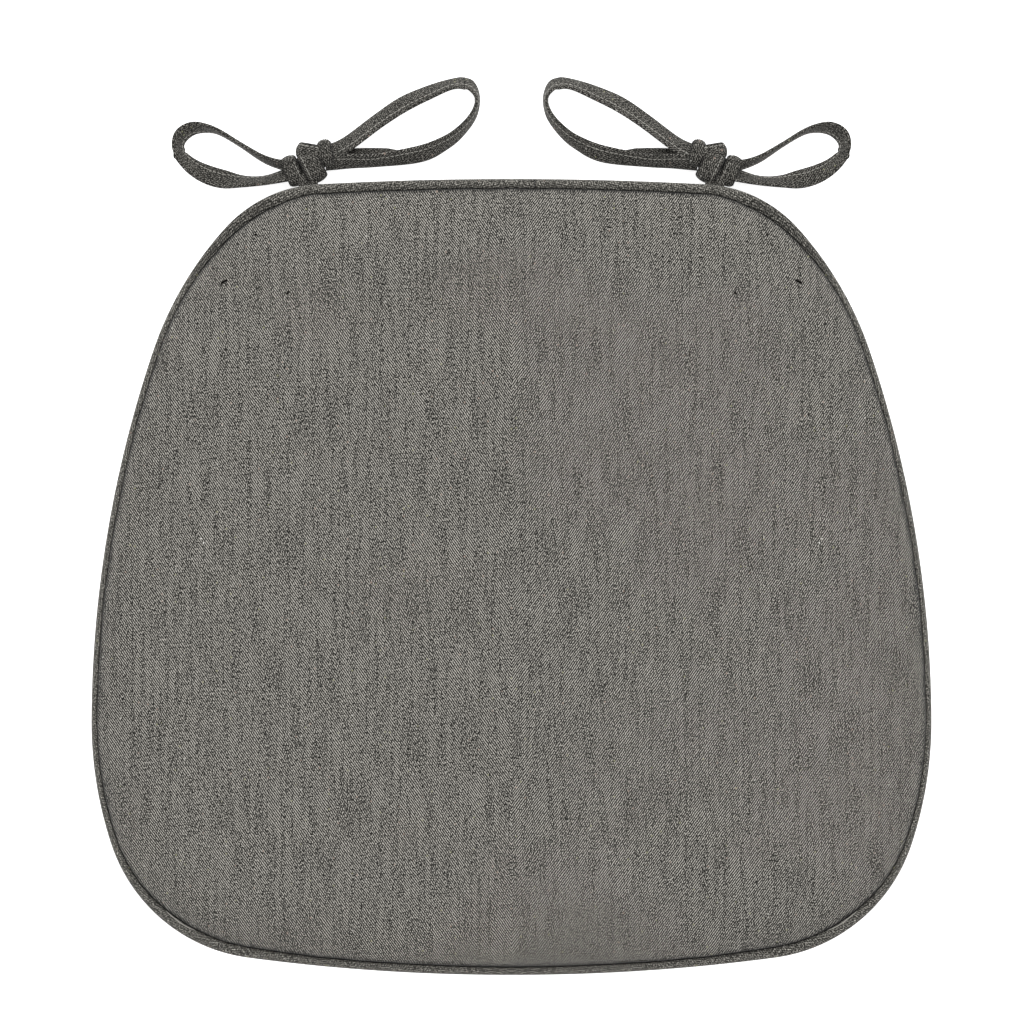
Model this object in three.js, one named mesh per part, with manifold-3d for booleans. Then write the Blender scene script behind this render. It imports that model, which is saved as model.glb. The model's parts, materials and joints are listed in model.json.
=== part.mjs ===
// A tie-on chair seat pad: a D-shaped, piped cushion cover over a foam slab, with a zip in its underside
// and a pair of fabric tapes tied in a bow at each back corner.
//
// Millimetres. +X is to the right, +Y to the back of the chair and +Z up. The origin is on the surface
// that the pad lies on, below the middle of its outline.
import * as THREE from "three";
import { mergeVertices } from "three/addons/utils/BufferGeometryUtils.js";
import Module from "manifold-3d";

const wasm = await Module();
wasm.setup();

// Overall sizes, over the piping.
const PAD_WIDTH = 430;
const PAD_DEPTH = 407.5;
const PAD_HEIGHT = 30;

// The cover.
const GAP = 0.3; // between pieces that touch
const CLOTH = 1; // thickness of the top and bottom panels
const SEAM_HEIGHT = 15; // of the piped seam above the surface
const SEAM_ALLOWANCE = 8; // cloth turned inwards behind the piping
const DOME = 1.2; // rise of the top from the rolled edge to the middle
const ROLL_WIDTH = 34; // over which the top and the underside roll to the edge
const ROLL_POWER = 0.8; // 1 is an ellipse, less is a squarer roll
const ROLL_STEPS = 4;
const FLAT_FROM = 0.6; // share of the roll after which the underside is all but flat

// The piping: a round cord in a folded strip of cloth.
const PIPING_CORD_DIAMETER = 3.2;
const PIPING_CLOTH = 0.6;
const PIPING_HUG = THREE.MathUtils.degToRad(60); // how far round the piping a panel follows it
const PIPING_JOINT_X = 5; // where the ends of the piping meet, on the back edge

// The filling.
const WADDING = 2;
const FOAM_ROLL_WIDTH = 20;

// The zip, which lies along X in the underside.
const ZIP_LENGTH = 250;
const ZIP_FROM_BACK = 54;
const ZIP_OPENING = 9; // between the turned edges of the cloth
const ZIP_END_ROOM = 3; // from the end of the chain to the end of the opening
const HEM = 10; // turned edge beside the zip
const TAPE_WIDTH = 12;
const TAPE = 0.6;
const COIL_DIAMETER = 1.9;
const CHAIN_GAP = 1.4; // between the two halves of the chain
const STOP_LENGTH = 3.5;
const SLIDER_LENGTH = 9;
const SLIDER_PLATE = 0.8;
const SLIDER_FLANGE = 0.7;
const PULL_LENGTH = 16;
const PULL_WIDTH = 4.4;
const PULL_THICKNESS = 0.8;
const PULL_NECK_WIDTH = 3.2;
const PULL_PIN_DIAMETER = 0.6;
const PULL_AXIS_HEIGHT = 0.85;
const EAR_THICKNESS = 0.6;
const EAR_RADIUS = 0.55;

// The ties: flat tapes, two to a corner, tied in a bow.
const TIE_FROM_MIDDLE = 104;
const TIE_WIDTH = 10;
const TIE_THICKNESS = 2.6;
const TIE_IN_SEAM = 1.5; // thickness where the two ends are pressed flat in the seam
const TIE_LOOP_HEIGHT = 6; // of the loops' middle line
const KNOT_SIZE = new THREE.Vector3(21, 20, 13.4);
const KNOT_CENTRE = new THREE.Vector3(1.5, 11.9, 7.5);
// Routes of the loops from the tie's place in the seam: x towards the middle of the pad and y backwards.
const INNER_LOOP = [
  [11.7, 18], [19.9, 21.6], [35.7, 33.4], [48, 41.6], [60.3, 47.4], [72.6, 52], [80.7, 53.1], [85.8, 49.2],
  [86.6, 43.6], [83.3, 35.4], [76.6, 27.2], [69, 21.6], [57.2, 17], [35.2, 14.7], [21.4, 14.4], [11.7, 13.7],
];
const OUTER_LOOP = [
  [-9.3, 5.8], [-22, 2.9], [-34.8, 2.4], [-47.6, 4.5], [-57.8, 8.8], [-65, 15], [-67, 20.6], [-65, 26.2],
  [-59.4, 29.5], [-52.2, 29.5], [-45, 27.2], [-34.8, 21.1], [-23.6, 14.2], [-14.4, 10.9], [-7.5, 10.8],
];

// The pad's outline from the middle of the back, round the right side, to the middle of the front: arcs
// that run into each other, each with its radius, the degrees it turns through and its number of steps.
const OUTLINE_ARCS = [
  { radius: 1800, turn: 3.2, steps: 2 }, // back edge
  { radius: 69, turn: 44.7, steps: 5 }, // back corner
  { radius: 180, turn: 23.3, steps: 3 },
  { radius: 596, turn: 18.5, steps: 4 }, // side
  { radius: 200, turn: 18.7, steps: 3 },
  { radius: 86, turn: 64, steps: 7 }, // front corner
  { radius: 1013, turn: 7.6, steps: 2 }, // front edge
];

// Sizes worked out from those above.
const pipingRadius = PIPING_CORD_DIAMETER / 2 + GAP + PIPING_CLOTH;
const seamEnd = 2 * pipingRadius + SEAM_ALLOWANCE;
const flangeHalf = GAP / 2 + PIPING_CLOTH; // the strip's two layers, with the seam between them
const panelFromSeam = flangeHalf + GAP;
const panelReach = pipingRadius + GAP;
const panelEdge = pipingRadius + panelReach * Math.cos(PIPING_HUG);
const rollStart = panelReach * Math.sin(PIPING_HUG);
const zipHalf = ZIP_LENGTH / 2 + ZIP_END_ROOM;
const tapeBottom = 2 * CLOTH + 2 * GAP;
const coilBottom = tapeBottom + TAPE + GAP;
const sliderTop = coilBottom + COIL_DIAMETER + GAP + SLIDER_PLATE;
const sliderX = ZIP_LENGTH / 2 - STOP_LENGTH - GAP - SLIDER_LENGTH;

// ---- The outline ----

// Points of the outline from the middle of the front, round the right side and the back, to the left
// side, each with the direction that leads straight out of the pad.
function makeOutline() {
  const half = [{ x: 0, y: 0, heading: 0 }];
  for (const { radius, turn, steps } of OUTLINE_ARCS) {
    const step = THREE.MathUtils.degToRad(turn) / steps;
    for (let i = 0; i < steps; i++) {
      const { x, y, heading } = half[half.length - 1];
      const chord = 2 * radius * Math.sin(step / 2);
      half.push({
        x: x + chord * Math.cos(heading - step / 2),
        y: y + chord * Math.sin(heading - step / 2),
        heading: heading - step,
      });
    }
  }
  const front = half[half.length - 1];
  const stretchX = PAD_WIDTH / 2 / Math.max(...half.map((p) => p.x));
  const stretchY = PAD_DEPTH / -front.y;
  const right = half.map(({ x, y, heading }, i) => ({
    at: new THREE.Vector2(i === half.length - 1 ? 0 : x * stretchX, (y - front.y / 2) * stretchY),
    out: new THREE.Vector2(-Math.sin(heading) / stretchX, Math.cos(heading) / stretchY).normalize(),
  }));
  const mirrored = (p) => ({
    at: new THREE.Vector2(-p.at.x, p.at.y),
    out: new THREE.Vector2(-p.out.x, p.out.y),
  });
  return [...right.slice(1).reverse(), ...right.slice(0, -1).map(mirrored)];
}

const OUTLINE = makeOutline();
const RIM = 40; // within this distance of the edge, rings keep an even distance from it
const MIDDLE = 200; // the distance in from the edge that stands for the middle of the pad

// A point on the ring that lies a distance in from the edge.
function ringPoint(index, inset) {
  const { at, out } = OUTLINE[index];
  const rim = at.clone().addScaledVector(out, -Math.min(inset, RIM));
  return inset <= RIM ? rim : rim.multiplyScalar((MIDDLE - inset) / (MIDDLE - RIM));
}

// The point at x on the back right stretch of the ring that lies a distance in from the edge.
function backPoint(x, inset) {
  let next = OUTLINE.length / 2 - 1;
  while (ringPoint(next, inset).x < x) next -= 1;
  const [a, b] = [ringPoint(next + 1, inset), ringPoint(next, inset)];
  const share = (x - a.x) / (b.x - a.x);
  const out = OUTLINE[next + 1].out.clone().lerp(OUTLINE[next].out, share).normalize();
  return { at: a.lerp(b, share), out };
}

// A solid of the pad's outline: a lathe turned from a profile of [distance in from the edge, height]
// points and then drawn out from its circle to the outline.
function followOutline(profile) {
  const turned = profile.map(([inset, z]) => new THREE.Vector2(MIDDLE - inset, z));
  const geometry = new THREE.LatheGeometry(turned, OUTLINE.length);
  const position = geometry.getAttribute("position");
  for (let i = 0; i <= OUTLINE.length; i++)
    profile.forEach(([inset, z], j) => {
      const { x, y } = ringPoint(i % OUTLINE.length, inset);
      position.setXYZ(i * profile.length + j, x, y, z);
    });
  return geometry;
}

// The zip lies at its distance from the back edge, or farther in if it is too long to lie flat there.
const flatInset = panelEdge + FLAT_FROM * ROLL_WIDTH;
const zipReach = CHAIN_GAP / 2 + TAPE_WIDTH;
const zipY = Math.min(PAD_DEPTH / 2 - ZIP_FROM_BACK, backPoint(zipHalf, flatInset).at.y - zipReach);

// ---- Solids ----

function toSolid(geometry) {
  const bare = geometry.clone();
  bare.deleteAttribute("normal");
  bare.deleteAttribute("uv");
  const merged = mergeVertices(bare, 1e-4);
  const mesh = new wasm.Mesh({
    numProp: 3,
    vertProperties: merged.getAttribute("position").array,
    triVerts: new Uint32Array(merged.index.array),
  });
  return new wasm.Manifold(mesh);
}

function toGeometry(solid) {
  const { vertProperties, triVerts } = solid.getMesh();
  return new THREE.BufferGeometry()
    .setAttribute("position", new THREE.BufferAttribute(vertProperties, 3))
    .setIndex(new THREE.BufferAttribute(triVerts, 1));
}

// A box between two corners.
function boxBetween([x0, y0, z0], [x1, y1, z1]) {
  const box = new THREE.BoxGeometry(x1 - x0, y1 - y0, z1 - z0);
  return box.translate((x0 + x1) / 2, (y0 + y1) / 2, (z0 + z1) / 2);
}

const solidBox = (low, high) => toSolid(boxBetween(low, high));

const materials = {
  cover: { color: 0x72706a, roughness: 0.95 },
  piping: { color: 0x68675f, roughness: 0.95 },
  tie: { color: 0x605e58, roughness: 0.95 },
  cord: { color: 0xd9d5c8, roughness: 0.9 },
  wadding: { color: 0xf0efec, roughness: 1 },
  foam: { color: 0xe9e2c6, roughness: 0.9 },
  tape: { color: 0x55534e, roughness: 0.9 },
  coil: { color: 0x4a4945, roughness: 0.5 },
  metal: { color: 0x8c8c8a, roughness: 0.35, metalness: 1 },
};

function piece(name, material, geometry) {
  const mesh = new THREE.Mesh(geometry, new THREE.MeshStandardMaterial(materials[material]));
  mesh.name = name;
  return mesh;
}

// ---- The cover ----

// The quarter round by which a face rolls from near upright at the edge to flat.
function roll(inset, z, width, height, steps = ROLL_STEPS) {
  return Array.from({ length: steps + 1 }, (_, i) => {
    const angle = (Math.PI / 2) * (i / steps);
    return [
      inset + width * (1 - Math.cos(angle) ** ROLL_POWER),
      z + height * Math.sin(angle) ** ROLL_POWER,
    ];
  });
}

// The profile of a panel: its middle, the rolled edge, round the piping to its seam allowance, and back
// along its inner face. side is 1 for the top and -1 for the underside. flat is how far above or below
// the seam the roll ends, and dome how much farther from it the middle is.
function panelProfile(side, flat, dome) {
  const hug = Math.asin(panelFromSeam / panelReach);
  const innerStart = panelFromSeam + CLOTH + GAP;
  const outer = [
    [seamEnd, panelFromSeam],
    [pipingRadius + panelReach * Math.cos(hug), panelFromSeam],
    ...roll(panelEdge, rollStart, ROLL_WIDTH, flat - rollStart),
    [MIDDLE, flat + dome],
  ];
  const inner = [
    [seamEnd, panelFromSeam + CLOTH],
    [panelEdge + 2 * CLOTH, panelFromSeam + CLOTH],
    ...roll(panelEdge + CLOTH, innerStart, ROLL_WIDTH, flat - CLOTH - innerStart, ROLL_STEPS - 1),
    [MIDDLE, flat + dome - CLOTH],
  ];
  const loop = side > 0 ? [...inner.reverse(), ...outer] : [...outer.reverse(), ...inner];
  return loop.map(([inset, z]) => [inset, SEAM_HEIGHT + side * z]);
}

const topFlat = PAD_HEIGHT - DOME - SEAM_HEIGHT;
const beyond = PAD_WIDTH; // farther out than any piece reaches

// One part of the underside, behind the zip where side is 1 and in front of it where side is -1. Its edge
// beside the zip is turned in and lies double.
function bottomPanel(side, whole) {
  const edge = zipY + (side * GAP) / 2;
  const far = zipY + side * beyond;
  const lip = zipY + (side * ZIP_OPENING) / 2;
  const between = (a, b) => [Math.min(a, b), Math.max(a, b)];
  const [y0, y1] = between(edge, far);
  const [cut0, cut1] = between(edge - side * CLOTH, lip);
  const [fold0, fold1] = between(lip, lip + side * CLOTH);
  const [hem0, hem1] = between(lip, lip + side * HEM);
  const cover = whole
    .intersect(solidBox([-beyond, y0, -beyond], [beyond, y1, beyond]))
    .subtract(solidBox([-zipHalf, cut0, -beyond], [zipHalf, cut1, SEAM_HEIGHT / 2]));
  return cover
    .add(solidBox([-zipHalf, fold0, CLOTH / 2], [zipHalf, fold1, 2 * CLOTH + GAP]))
    .add(solidBox([-zipHalf, hem0, CLOTH + GAP], [zipHalf, hem1, 2 * CLOTH + GAP]));
}

// The strip's section: round the cord, with its two edges laid together as a flange inside the seam.
function pipingProfile() {
  const arc = (radius, from, to, steps) =>
    Array.from({ length: steps + 1 }, (_, i) => {
      const angle = from + ((to - from) * i) / steps;
      return [pipingRadius + radius * Math.cos(angle), SEAM_HEIGHT + radius * Math.sin(angle)];
    });
  const inside = pipingRadius - PIPING_CLOTH;
  const outerStart = Math.asin(flangeHalf / pipingRadius);
  const innerStart = Math.asin(GAP / 2 / inside);
  const round = 2 * Math.PI;
  const loop = [
    [seamEnd, SEAM_HEIGHT - flangeHalf],
    ...arc(pipingRadius, round - outerStart, outerStart, 7),
    [seamEnd, SEAM_HEIGHT + flangeHalf],
    [seamEnd, SEAM_HEIGHT + GAP / 2],
    ...arc(inside, innerStart, round - innerStart, 6),
    [seamEnd, SEAM_HEIGHT - GAP / 2],
  ];
  return [...loop, loop[0]];
}

function cordProfile() {
  const sides = 6;
  return Array.from({ length: sides + 1 }, (_, i) => {
    const angle = (2 * Math.PI * i) / sides;
    const radius = PIPING_CORD_DIAMETER / 2;
    return [pipingRadius + radius * Math.cos(angle), SEAM_HEIGHT - radius * Math.sin(angle)];
  });
}

// Piping is one length of strip and cord, so its ends meet on the back edge.
function openAtJoint(geometry) {
  const slit = solidBox([PIPING_JOINT_X, 0, 0], [PIPING_JOINT_X + GAP, PAD_DEPTH, PAD_HEIGHT]);
  return toGeometry(toSolid(geometry).subtract(slit));
}

// ---- The filling ----

const foamInset = seamEnd + GAP;
const wadStart = panelFromSeam + CLOTH + GAP;
const bottomFlat = SEAM_HEIGHT;

// Half of the foam's profile, above or below the seam, from its edge to its middle.
function foamHalf(flat, dome) {
  const height = flat - CLOTH - WADDING - 2 * GAP;
  return [...roll(foamInset, 0, FOAM_ROLL_WIDTH, height), [MIDDLE, height + dome]];
}

function foamProfile() {
  const above = foamHalf(topFlat, DOME).map(([inset, z]) => [inset, SEAM_HEIGHT + z]);
  const below = foamHalf(bottomFlat, 0).map(([inset, z]) => [inset, SEAM_HEIGHT - z]);
  return [...below.reverse(), ...above.slice(1)];
}

// A layer of wadding between the foam and a panel, which fills the cover down to the seam allowance.
function waddingProfile(side, flat, dome) {
  const outerHeight = flat - CLOTH - GAP - wadStart;
  const outer = [
    ...roll(panelEdge + 2 * CLOTH, wadStart, ROLL_WIDTH, outerHeight, ROLL_STEPS - 1),
    [MIDDLE, flat + dome - CLOTH - GAP],
  ];
  const inner = foamHalf(flat, dome)
    .map(([inset, z]) => [inset - GAP / 2, z + GAP])
    .filter(([, z]) => z > wadStart);
  const loop = [[MIDDLE, inner.pop()[1]], ...inner.reverse(), [foamInset - GAP, wadStart], ...outer];
  return (side > 0 ? loop : loop.reverse()).map(([inset, z]) => [inset, SEAM_HEIGHT + side * z]);
}

// ---- The zip ----

const halfChain = CHAIN_GAP / 2;
const coilOut = halfChain + COIL_DIAMETER;
const sliderHalfWidth = coilOut + GAP + SLIDER_FLANGE;
const outerPlateTop = tapeBottom - GAP;
const outerPlateBottom = outerPlateTop - SLIDER_PLATE;
const pullAxisX = sliderX - SLIDER_LENGTH / 4;

function zipTape(side) {
  const y0 = zipY + side * halfChain;
  const y1 = y0 + side * TAPE_WIDTH;
  const end = ZIP_LENGTH / 2;
  return boxBetween([-end, Math.min(y0, y1), tapeBottom], [end, Math.max(y0, y1), tapeBottom + TAPE]);
}

function zipCoil(side) {
  const length = ZIP_LENGTH - 2 * STOP_LENGTH - 2 * GAP;
  return new THREE.CylinderGeometry(COIL_DIAMETER / 2, COIL_DIAMETER / 2, length, 8)
    .rotateZ(Math.PI / 2)
    .translate(0, zipY + side * (halfChain + COIL_DIAMETER / 2), coilBottom + COIL_DIAMETER / 2);
}

// A stop on the end of the chain. The top stops are one to each half, and the bottom stop joins both halves.
function zipStop(end, y0, y1) {
  const x = (end * (ZIP_LENGTH - STOP_LENGTH)) / 2;
  return boxBetween(
    [x - STOP_LENGTH / 2, zipY + y0, coilBottom],
    [x + STOP_LENGTH / 2, zipY + y1, coilBottom + COIL_DIAMETER],
  );
}

// The slider: a plate on each side of the chain, joined by a web that runs between its two halves, with
// flanges round the coils and two ears that carry the pull.
function zipSlider() {
  const x0 = sliderX - SLIDER_LENGTH / 2;
  const x1 = sliderX + SLIDER_LENGTH / 2;
  const web = halfChain - GAP;
  const innerPlate = sliderTop - SLIDER_PLATE;
  let slider = solidBox([x0, -sliderHalfWidth, outerPlateBottom], [x1, sliderHalfWidth, outerPlateTop])
    .add(solidBox([x0, -sliderHalfWidth, innerPlate], [x1, sliderHalfWidth, sliderTop]))
    .add(solidBox([x1 - SLIDER_LENGTH / 3, -web, outerPlateBottom], [x1, web, sliderTop]));
  for (const side of [-1, 1]) {
    const flange = side * (sliderHalfWidth - SLIDER_FLANGE / 2);
    slider = slider
      .add(
        solidBox(
          [x0, flange - SLIDER_FLANGE / 2, coilBottom],
          [x1, flange + SLIDER_FLANGE / 2, sliderTop],
        ),
      )
      .add(toSolid(pullEar(side * (PULL_NECK_WIDTH / 2 + GAP + EAR_THICKNESS / 2))));
  }
  return toGeometry(slider.translate([0, zipY, 0]));
}

// An ear under the outer plate, with the hole in which the pull's pin turns.
function pullEar(y) {
  const ear = new THREE.Shape()
    .moveTo(EAR_RADIUS, 0)
    .lineTo(EAR_RADIUS, outerPlateTop - SLIDER_PLATE / 2 - PULL_AXIS_HEIGHT)
    .lineTo(-EAR_RADIUS, outerPlateTop - SLIDER_PLATE / 2 - PULL_AXIS_HEIGHT)
    .lineTo(-EAR_RADIUS, 0)
    .absarc(0, 0, EAR_RADIUS, Math.PI, 2 * Math.PI);
  ear.holes.push(new THREE.Path().absarc(0, 0, PULL_PIN_DIAMETER / 2 + GAP / 3, 0, 2 * Math.PI, true));
  return new THREE.ExtrudeGeometry(ear, { depth: EAR_THICKNESS, bevelEnabled: false, curveSegments: 5 })
    .translate(0, 0, -EAR_THICKNESS / 2)
    .rotateX(Math.PI / 2)
    .translate(pullAxisX, y, PULL_AXIS_HEIGHT);
}

// The pull: a flat tongue with a rounded end, hung on a pin across its neck.
function zipPull() {
  const neck = PULL_NECK_WIDTH / 2;
  const grip = PULL_WIDTH / 2;
  const nose = PULL_THICKNESS / 2;
  const shoulder = SLIDER_LENGTH / 2;
  const outline = new THREE.Shape()
    .moveTo(nose, -neck)
    .lineTo(nose, neck)
    .lineTo(-shoulder, neck)
    .lineTo(-shoulder - (grip - neck), grip)
    .absarc(grip - PULL_LENGTH, 0, grip, Math.PI / 2, 1.5 * Math.PI)
    .lineTo(-shoulder - (grip - neck), -grip)
    .lineTo(-shoulder, -neck);
  const tongue = new THREE.ExtrudeGeometry(outline, {
    depth: PULL_THICKNESS,
    bevelEnabled: false,
    curveSegments: 6,
  }).translate(0, 0, -PULL_THICKNESS / 2);
  const pinLength = PULL_NECK_WIDTH + 2 * GAP + 2 * EAR_THICKNESS;
  const pin = new THREE.CylinderGeometry(PULL_PIN_DIAMETER / 2, PULL_PIN_DIAMETER / 2, pinLength, 10);
  return toGeometry(toSolid(tongue).add(toSolid(pin)).translate([pullAxisX, zipY, PULL_AXIS_HEIGHT]));
}

// ---- The ties ----

// Where a tie leaves the seam, and how far the way out of the pad is turned there from straight back.
function tieAnchor(side) {
  const { at, out } = backPoint(TIE_FROM_MIDDLE, 0);
  return { x: side * at.x, y: at.y, turn: -side * Math.atan2(out.x, out.y) };
}

// Moves a solid that is drawn at the origin, with y straight out of the pad, to a tie's place in the seam.
function atTie(side, geometry) {
  const { x, y, turn } = tieAnchor(side);
  return geometry.rotateZ(turn).translate(x, y, 0);
}

// The ends that are sewn into the seam: flat under the piping's flange, then bent down round the piping.
// With room it is the space that they press out of the layers below.
function seamEndGeometry(room = 0) {
  const innerRadius = panelReach - room;
  const outerRadius = panelReach + TIE_IN_SEAM + room;
  const above = SEAM_HEIGHT - panelFromSeam + room;
  const below = above - TIE_IN_SEAM - 2 * room;
  const innerStart = -Math.asin((SEAM_HEIGHT - above) / innerRadius);
  const outerStart = -Math.asin((SEAM_HEIGHT - below) / outerRadius);
  const end = -Math.PI / 2;
  const section = new THREE.Shape()
    .moveTo(seamEnd - GAP + room, below)
    .lineTo(seamEnd - GAP + room, above)
    .absarc(pipingRadius, SEAM_HEIGHT, innerRadius, innerStart, end, true)
    .absarc(pipingRadius, SEAM_HEIGHT, outerRadius, end, outerStart);
  const width = TIE_WIDTH + 2 * room;
  return new THREE.ExtrudeGeometry(section, { depth: width, bevelEnabled: false, curveSegments: 4 })
    .translate(0, 0, -width / 2)
    .rotateX(Math.PI / 2)
    .rotateZ(-Math.PI / 2);
}

function knotSolid(side, room = 0) {
  const { x, y } = tieAnchor(side);
  const size = KNOT_SIZE.clone().addScalar(2 * room);
  const knot = new THREE.SphereGeometry(0.5, 14, 9)
    .rotateX(Math.PI / 2)
    .scale(size.x, size.y, size.z)
    .translate(x - side * KNOT_CENTRE.x, y + KNOT_CENTRE.y, KNOT_CENTRE.z);
  return toSolid(knot);
}

// The short stretch from under the piping to the knot.
function tieLeg(side) {
  const top = SEAM_HEIGHT - panelReach;
  const leg = boxBetween(
    [-TIE_WIDTH / 2, GAP - pipingRadius, top - TIE_IN_SEAM],
    [TIE_WIDTH / 2, KNOT_CENTRE.y - KNOT_SIZE.y / 4, top],
  );
  return toGeometry(toSolid(atTie(side, leg)).subtract(knotSolid(side, GAP)));
}

// A loop of tape, standing on its edge, from the knot and back to it.
function tieLoop(side, route) {
  const { x, y } = tieAnchor(side);
  const points = route.map(([u, v]) => new THREE.Vector3(x - side * u, y + v, TIE_LOOP_HEIGHT));
  const chamfer = TIE_THICKNESS / 4;
  const [w, t] = [TIE_WIDTH / 2, TIE_THICKNESS / 2];
  const section = new THREE.Shape([
    new THREE.Vector2(w, t - chamfer),
    new THREE.Vector2(w - chamfer, t),
    new THREE.Vector2(chamfer - w, t),
    new THREE.Vector2(-w, t - chamfer),
    new THREE.Vector2(-w, chamfer - t),
    new THREE.Vector2(chamfer - w, -t),
    new THREE.Vector2(w - chamfer, -t),
    new THREE.Vector2(w, chamfer - t),
  ]);
  const loop = new THREE.ExtrudeGeometry(section, {
    steps: 22,
    extrudePath: new THREE.CatmullRomCurve3(points),
    bevelEnabled: false,
  });
  return toGeometry(toSolid(loop).subtract(knotSolid(side, GAP)));
}

// ---- The assembly ----

function makeCover(seats) {
  const underside = toSolid(followOutline(panelProfile(-1, bottomFlat, 0)));
  const front = bottomPanel(-1, underside);
  const rear = seats.reduce((panel, seat) => panel.subtract(seat), bottomPanel(1, underside));
  const group = new THREE.Group();
  group.add(
    piece("top_panel", "cover", followOutline(panelProfile(1, topFlat, DOME))),
    piece("bottom_panel_front", "cover", toGeometry(front)),
    piece("bottom_panel_rear", "cover", toGeometry(rear)),
    piece("piping_strip", "piping", openAtJoint(followOutline(pipingProfile()))),
    piece("piping_cord", "cord", openAtJoint(followOutline(cordProfile()))),
  );
  return group;
}

function makeFilling(seats) {
  const slotHalf = ZIP_OPENING / 2 + HEM + GAP;
  const slot = solidBox(
    [-zipHalf - GAP, zipY - slotHalf, -beyond],
    [zipHalf + GAP, zipY + slotHalf, SEAM_HEIGHT / 2],
  );
  const groove = solidBox(
    [-zipHalf, zipY - sliderHalfWidth - GAP, -beyond],
    [zipHalf, zipY + sliderHalfWidth + GAP, sliderTop + GAP],
  );
  const lower = toSolid(followOutline(waddingProfile(-1, bottomFlat, 0))).subtract(slot);
  const foam = toSolid(followOutline(foamProfile())).subtract(groove);
  const group = new THREE.Group();
  group.add(
    piece("foam_core", "foam", toGeometry(foam)),
    piece("wadding_top", "wadding", followOutline(waddingProfile(1, topFlat, DOME))),
    piece("wadding_bottom", "wadding", toGeometry(seats.reduce((wad, seat) => wad.subtract(seat), lower))),
  );
  return group;
}

function makeZip() {
  const group = new THREE.Group();
  for (const [place, side] of [["front", -1], ["rear", 1]]) {
    const [y0, y1] = side < 0 ? [-coilOut, -halfChain] : [halfChain, coilOut];
    group.add(
      piece(`zip_tape_${place}`, "tape", zipTape(side)),
      piece(`zip_coil_${place}`, "coil", zipCoil(side)),
      piece(`zip_top_stop_${place}`, "metal", zipStop(1, y0, y1)),
    );
  }
  group.add(
    piece("zip_bottom_stop", "metal", zipStop(-1, -coilOut, coilOut)),
    piece("zip_slider", "metal", zipSlider()),
    piece("zip_pull", "metal", zipPull()),
  );
  return group;
}

function makeTie(place, side) {
  const group = new THREE.Group();
  group.add(
    piece(`tie_${place}_seam_end`, "tie", atTie(side, seamEndGeometry())),
    piece(`tie_${place}_leg`, "tie", tieLeg(side)),
    piece(`tie_${place}_knot`, "tie", toGeometry(knotSolid(side))),
    piece(`tie_${place}_inner_loop`, "tie", tieLoop(side, INNER_LOOP)),
    piece(`tie_${place}_outer_loop`, "tie", tieLoop(side, OUTER_LOOP)),
  );
  return group;
}

const seats = [-1, 1].map((side) => toSolid(atTie(side, seamEndGeometry(GAP))));
const seatPad = new THREE.Group();
seatPad.add(makeCover(seats), makeFilling(seats), makeZip(), makeTie("left", -1), makeTie("right", 1));

export default seatPad;
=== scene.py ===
"""The looks of a tie-on chair seat pad: a piped, D-shaped cushion cover in grey melange twill, with a zip in
its underside and a bow of flat tape at each back corner.

Shapes are worked out in millimetres, in the frame's own axes, and turned into metres when a mesh is made.
"""

import json
import math

import bpy
import bmesh
import numpy as np
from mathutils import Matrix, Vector, noise
from mathutils.bvhtree import BVHTree


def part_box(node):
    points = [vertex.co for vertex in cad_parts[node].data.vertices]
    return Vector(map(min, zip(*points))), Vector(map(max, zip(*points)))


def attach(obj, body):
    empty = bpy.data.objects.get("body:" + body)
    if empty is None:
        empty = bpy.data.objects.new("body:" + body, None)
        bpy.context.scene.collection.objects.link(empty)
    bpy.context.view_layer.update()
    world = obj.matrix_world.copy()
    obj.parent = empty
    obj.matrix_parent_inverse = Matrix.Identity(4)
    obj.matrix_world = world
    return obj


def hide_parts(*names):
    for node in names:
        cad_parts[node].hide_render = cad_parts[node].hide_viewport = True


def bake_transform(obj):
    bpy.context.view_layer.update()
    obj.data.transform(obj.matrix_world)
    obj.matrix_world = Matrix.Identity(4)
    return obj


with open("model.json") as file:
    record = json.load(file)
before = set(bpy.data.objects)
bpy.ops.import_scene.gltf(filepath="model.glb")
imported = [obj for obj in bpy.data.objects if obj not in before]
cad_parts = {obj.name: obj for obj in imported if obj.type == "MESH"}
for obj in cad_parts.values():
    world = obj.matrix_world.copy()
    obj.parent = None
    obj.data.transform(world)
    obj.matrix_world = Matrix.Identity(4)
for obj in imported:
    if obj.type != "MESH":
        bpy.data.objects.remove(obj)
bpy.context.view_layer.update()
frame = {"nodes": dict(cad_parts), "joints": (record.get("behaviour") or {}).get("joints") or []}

METRES = 0.001  # one millimetre


def box_mm(node):
    """Lowest and highest corner of a CAD node, in millimetres."""
    low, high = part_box(node)
    return np.array(low) / METRES, np.array(high) / METRES


# ---- Sizes, in millimetres ----

pipe_low, pipe_high = box_mm("piping_strip")
PAD_WIDTH = pipe_high[0] - pipe_low[0]
PAD_DEPTH = pipe_high[1] - pipe_low[1]
SEAM_HEIGHT = (pipe_low[2] + pipe_high[2]) / 2
PAD_HEIGHT = box_mm("top_panel")[1][2]
CLOTH = 1.0
PIPE_RADIUS = 2.5
FLANGE_HALF = 0.4  # half the thickness of the piping's sewn flange
GROOVE = 0.3  # between the visible piping and the panel
SEAM_ALLOWANCE = 12.0  # how far in from the edge the turned cloth of the seam reaches
DOME = 1.2
ROLL_WIDTH = 34.0
ROLL_POWER = 0.8
STRETCH = 0.12  # how much of the way down the roll the weave is unrolled. The rest of it stretches.
RIM = 40.0  # rings keep an even distance from the edge up to here

# Arcs of the outline from the middle of the back to the middle of the front: radius and degrees turned.
OUTLINE_ARCS = ((1800, 3.2), (69, 44.7), (180, 23.3), (596, 18.5), (200, 18.7), (86, 64), (1013, 7.6))

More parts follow.
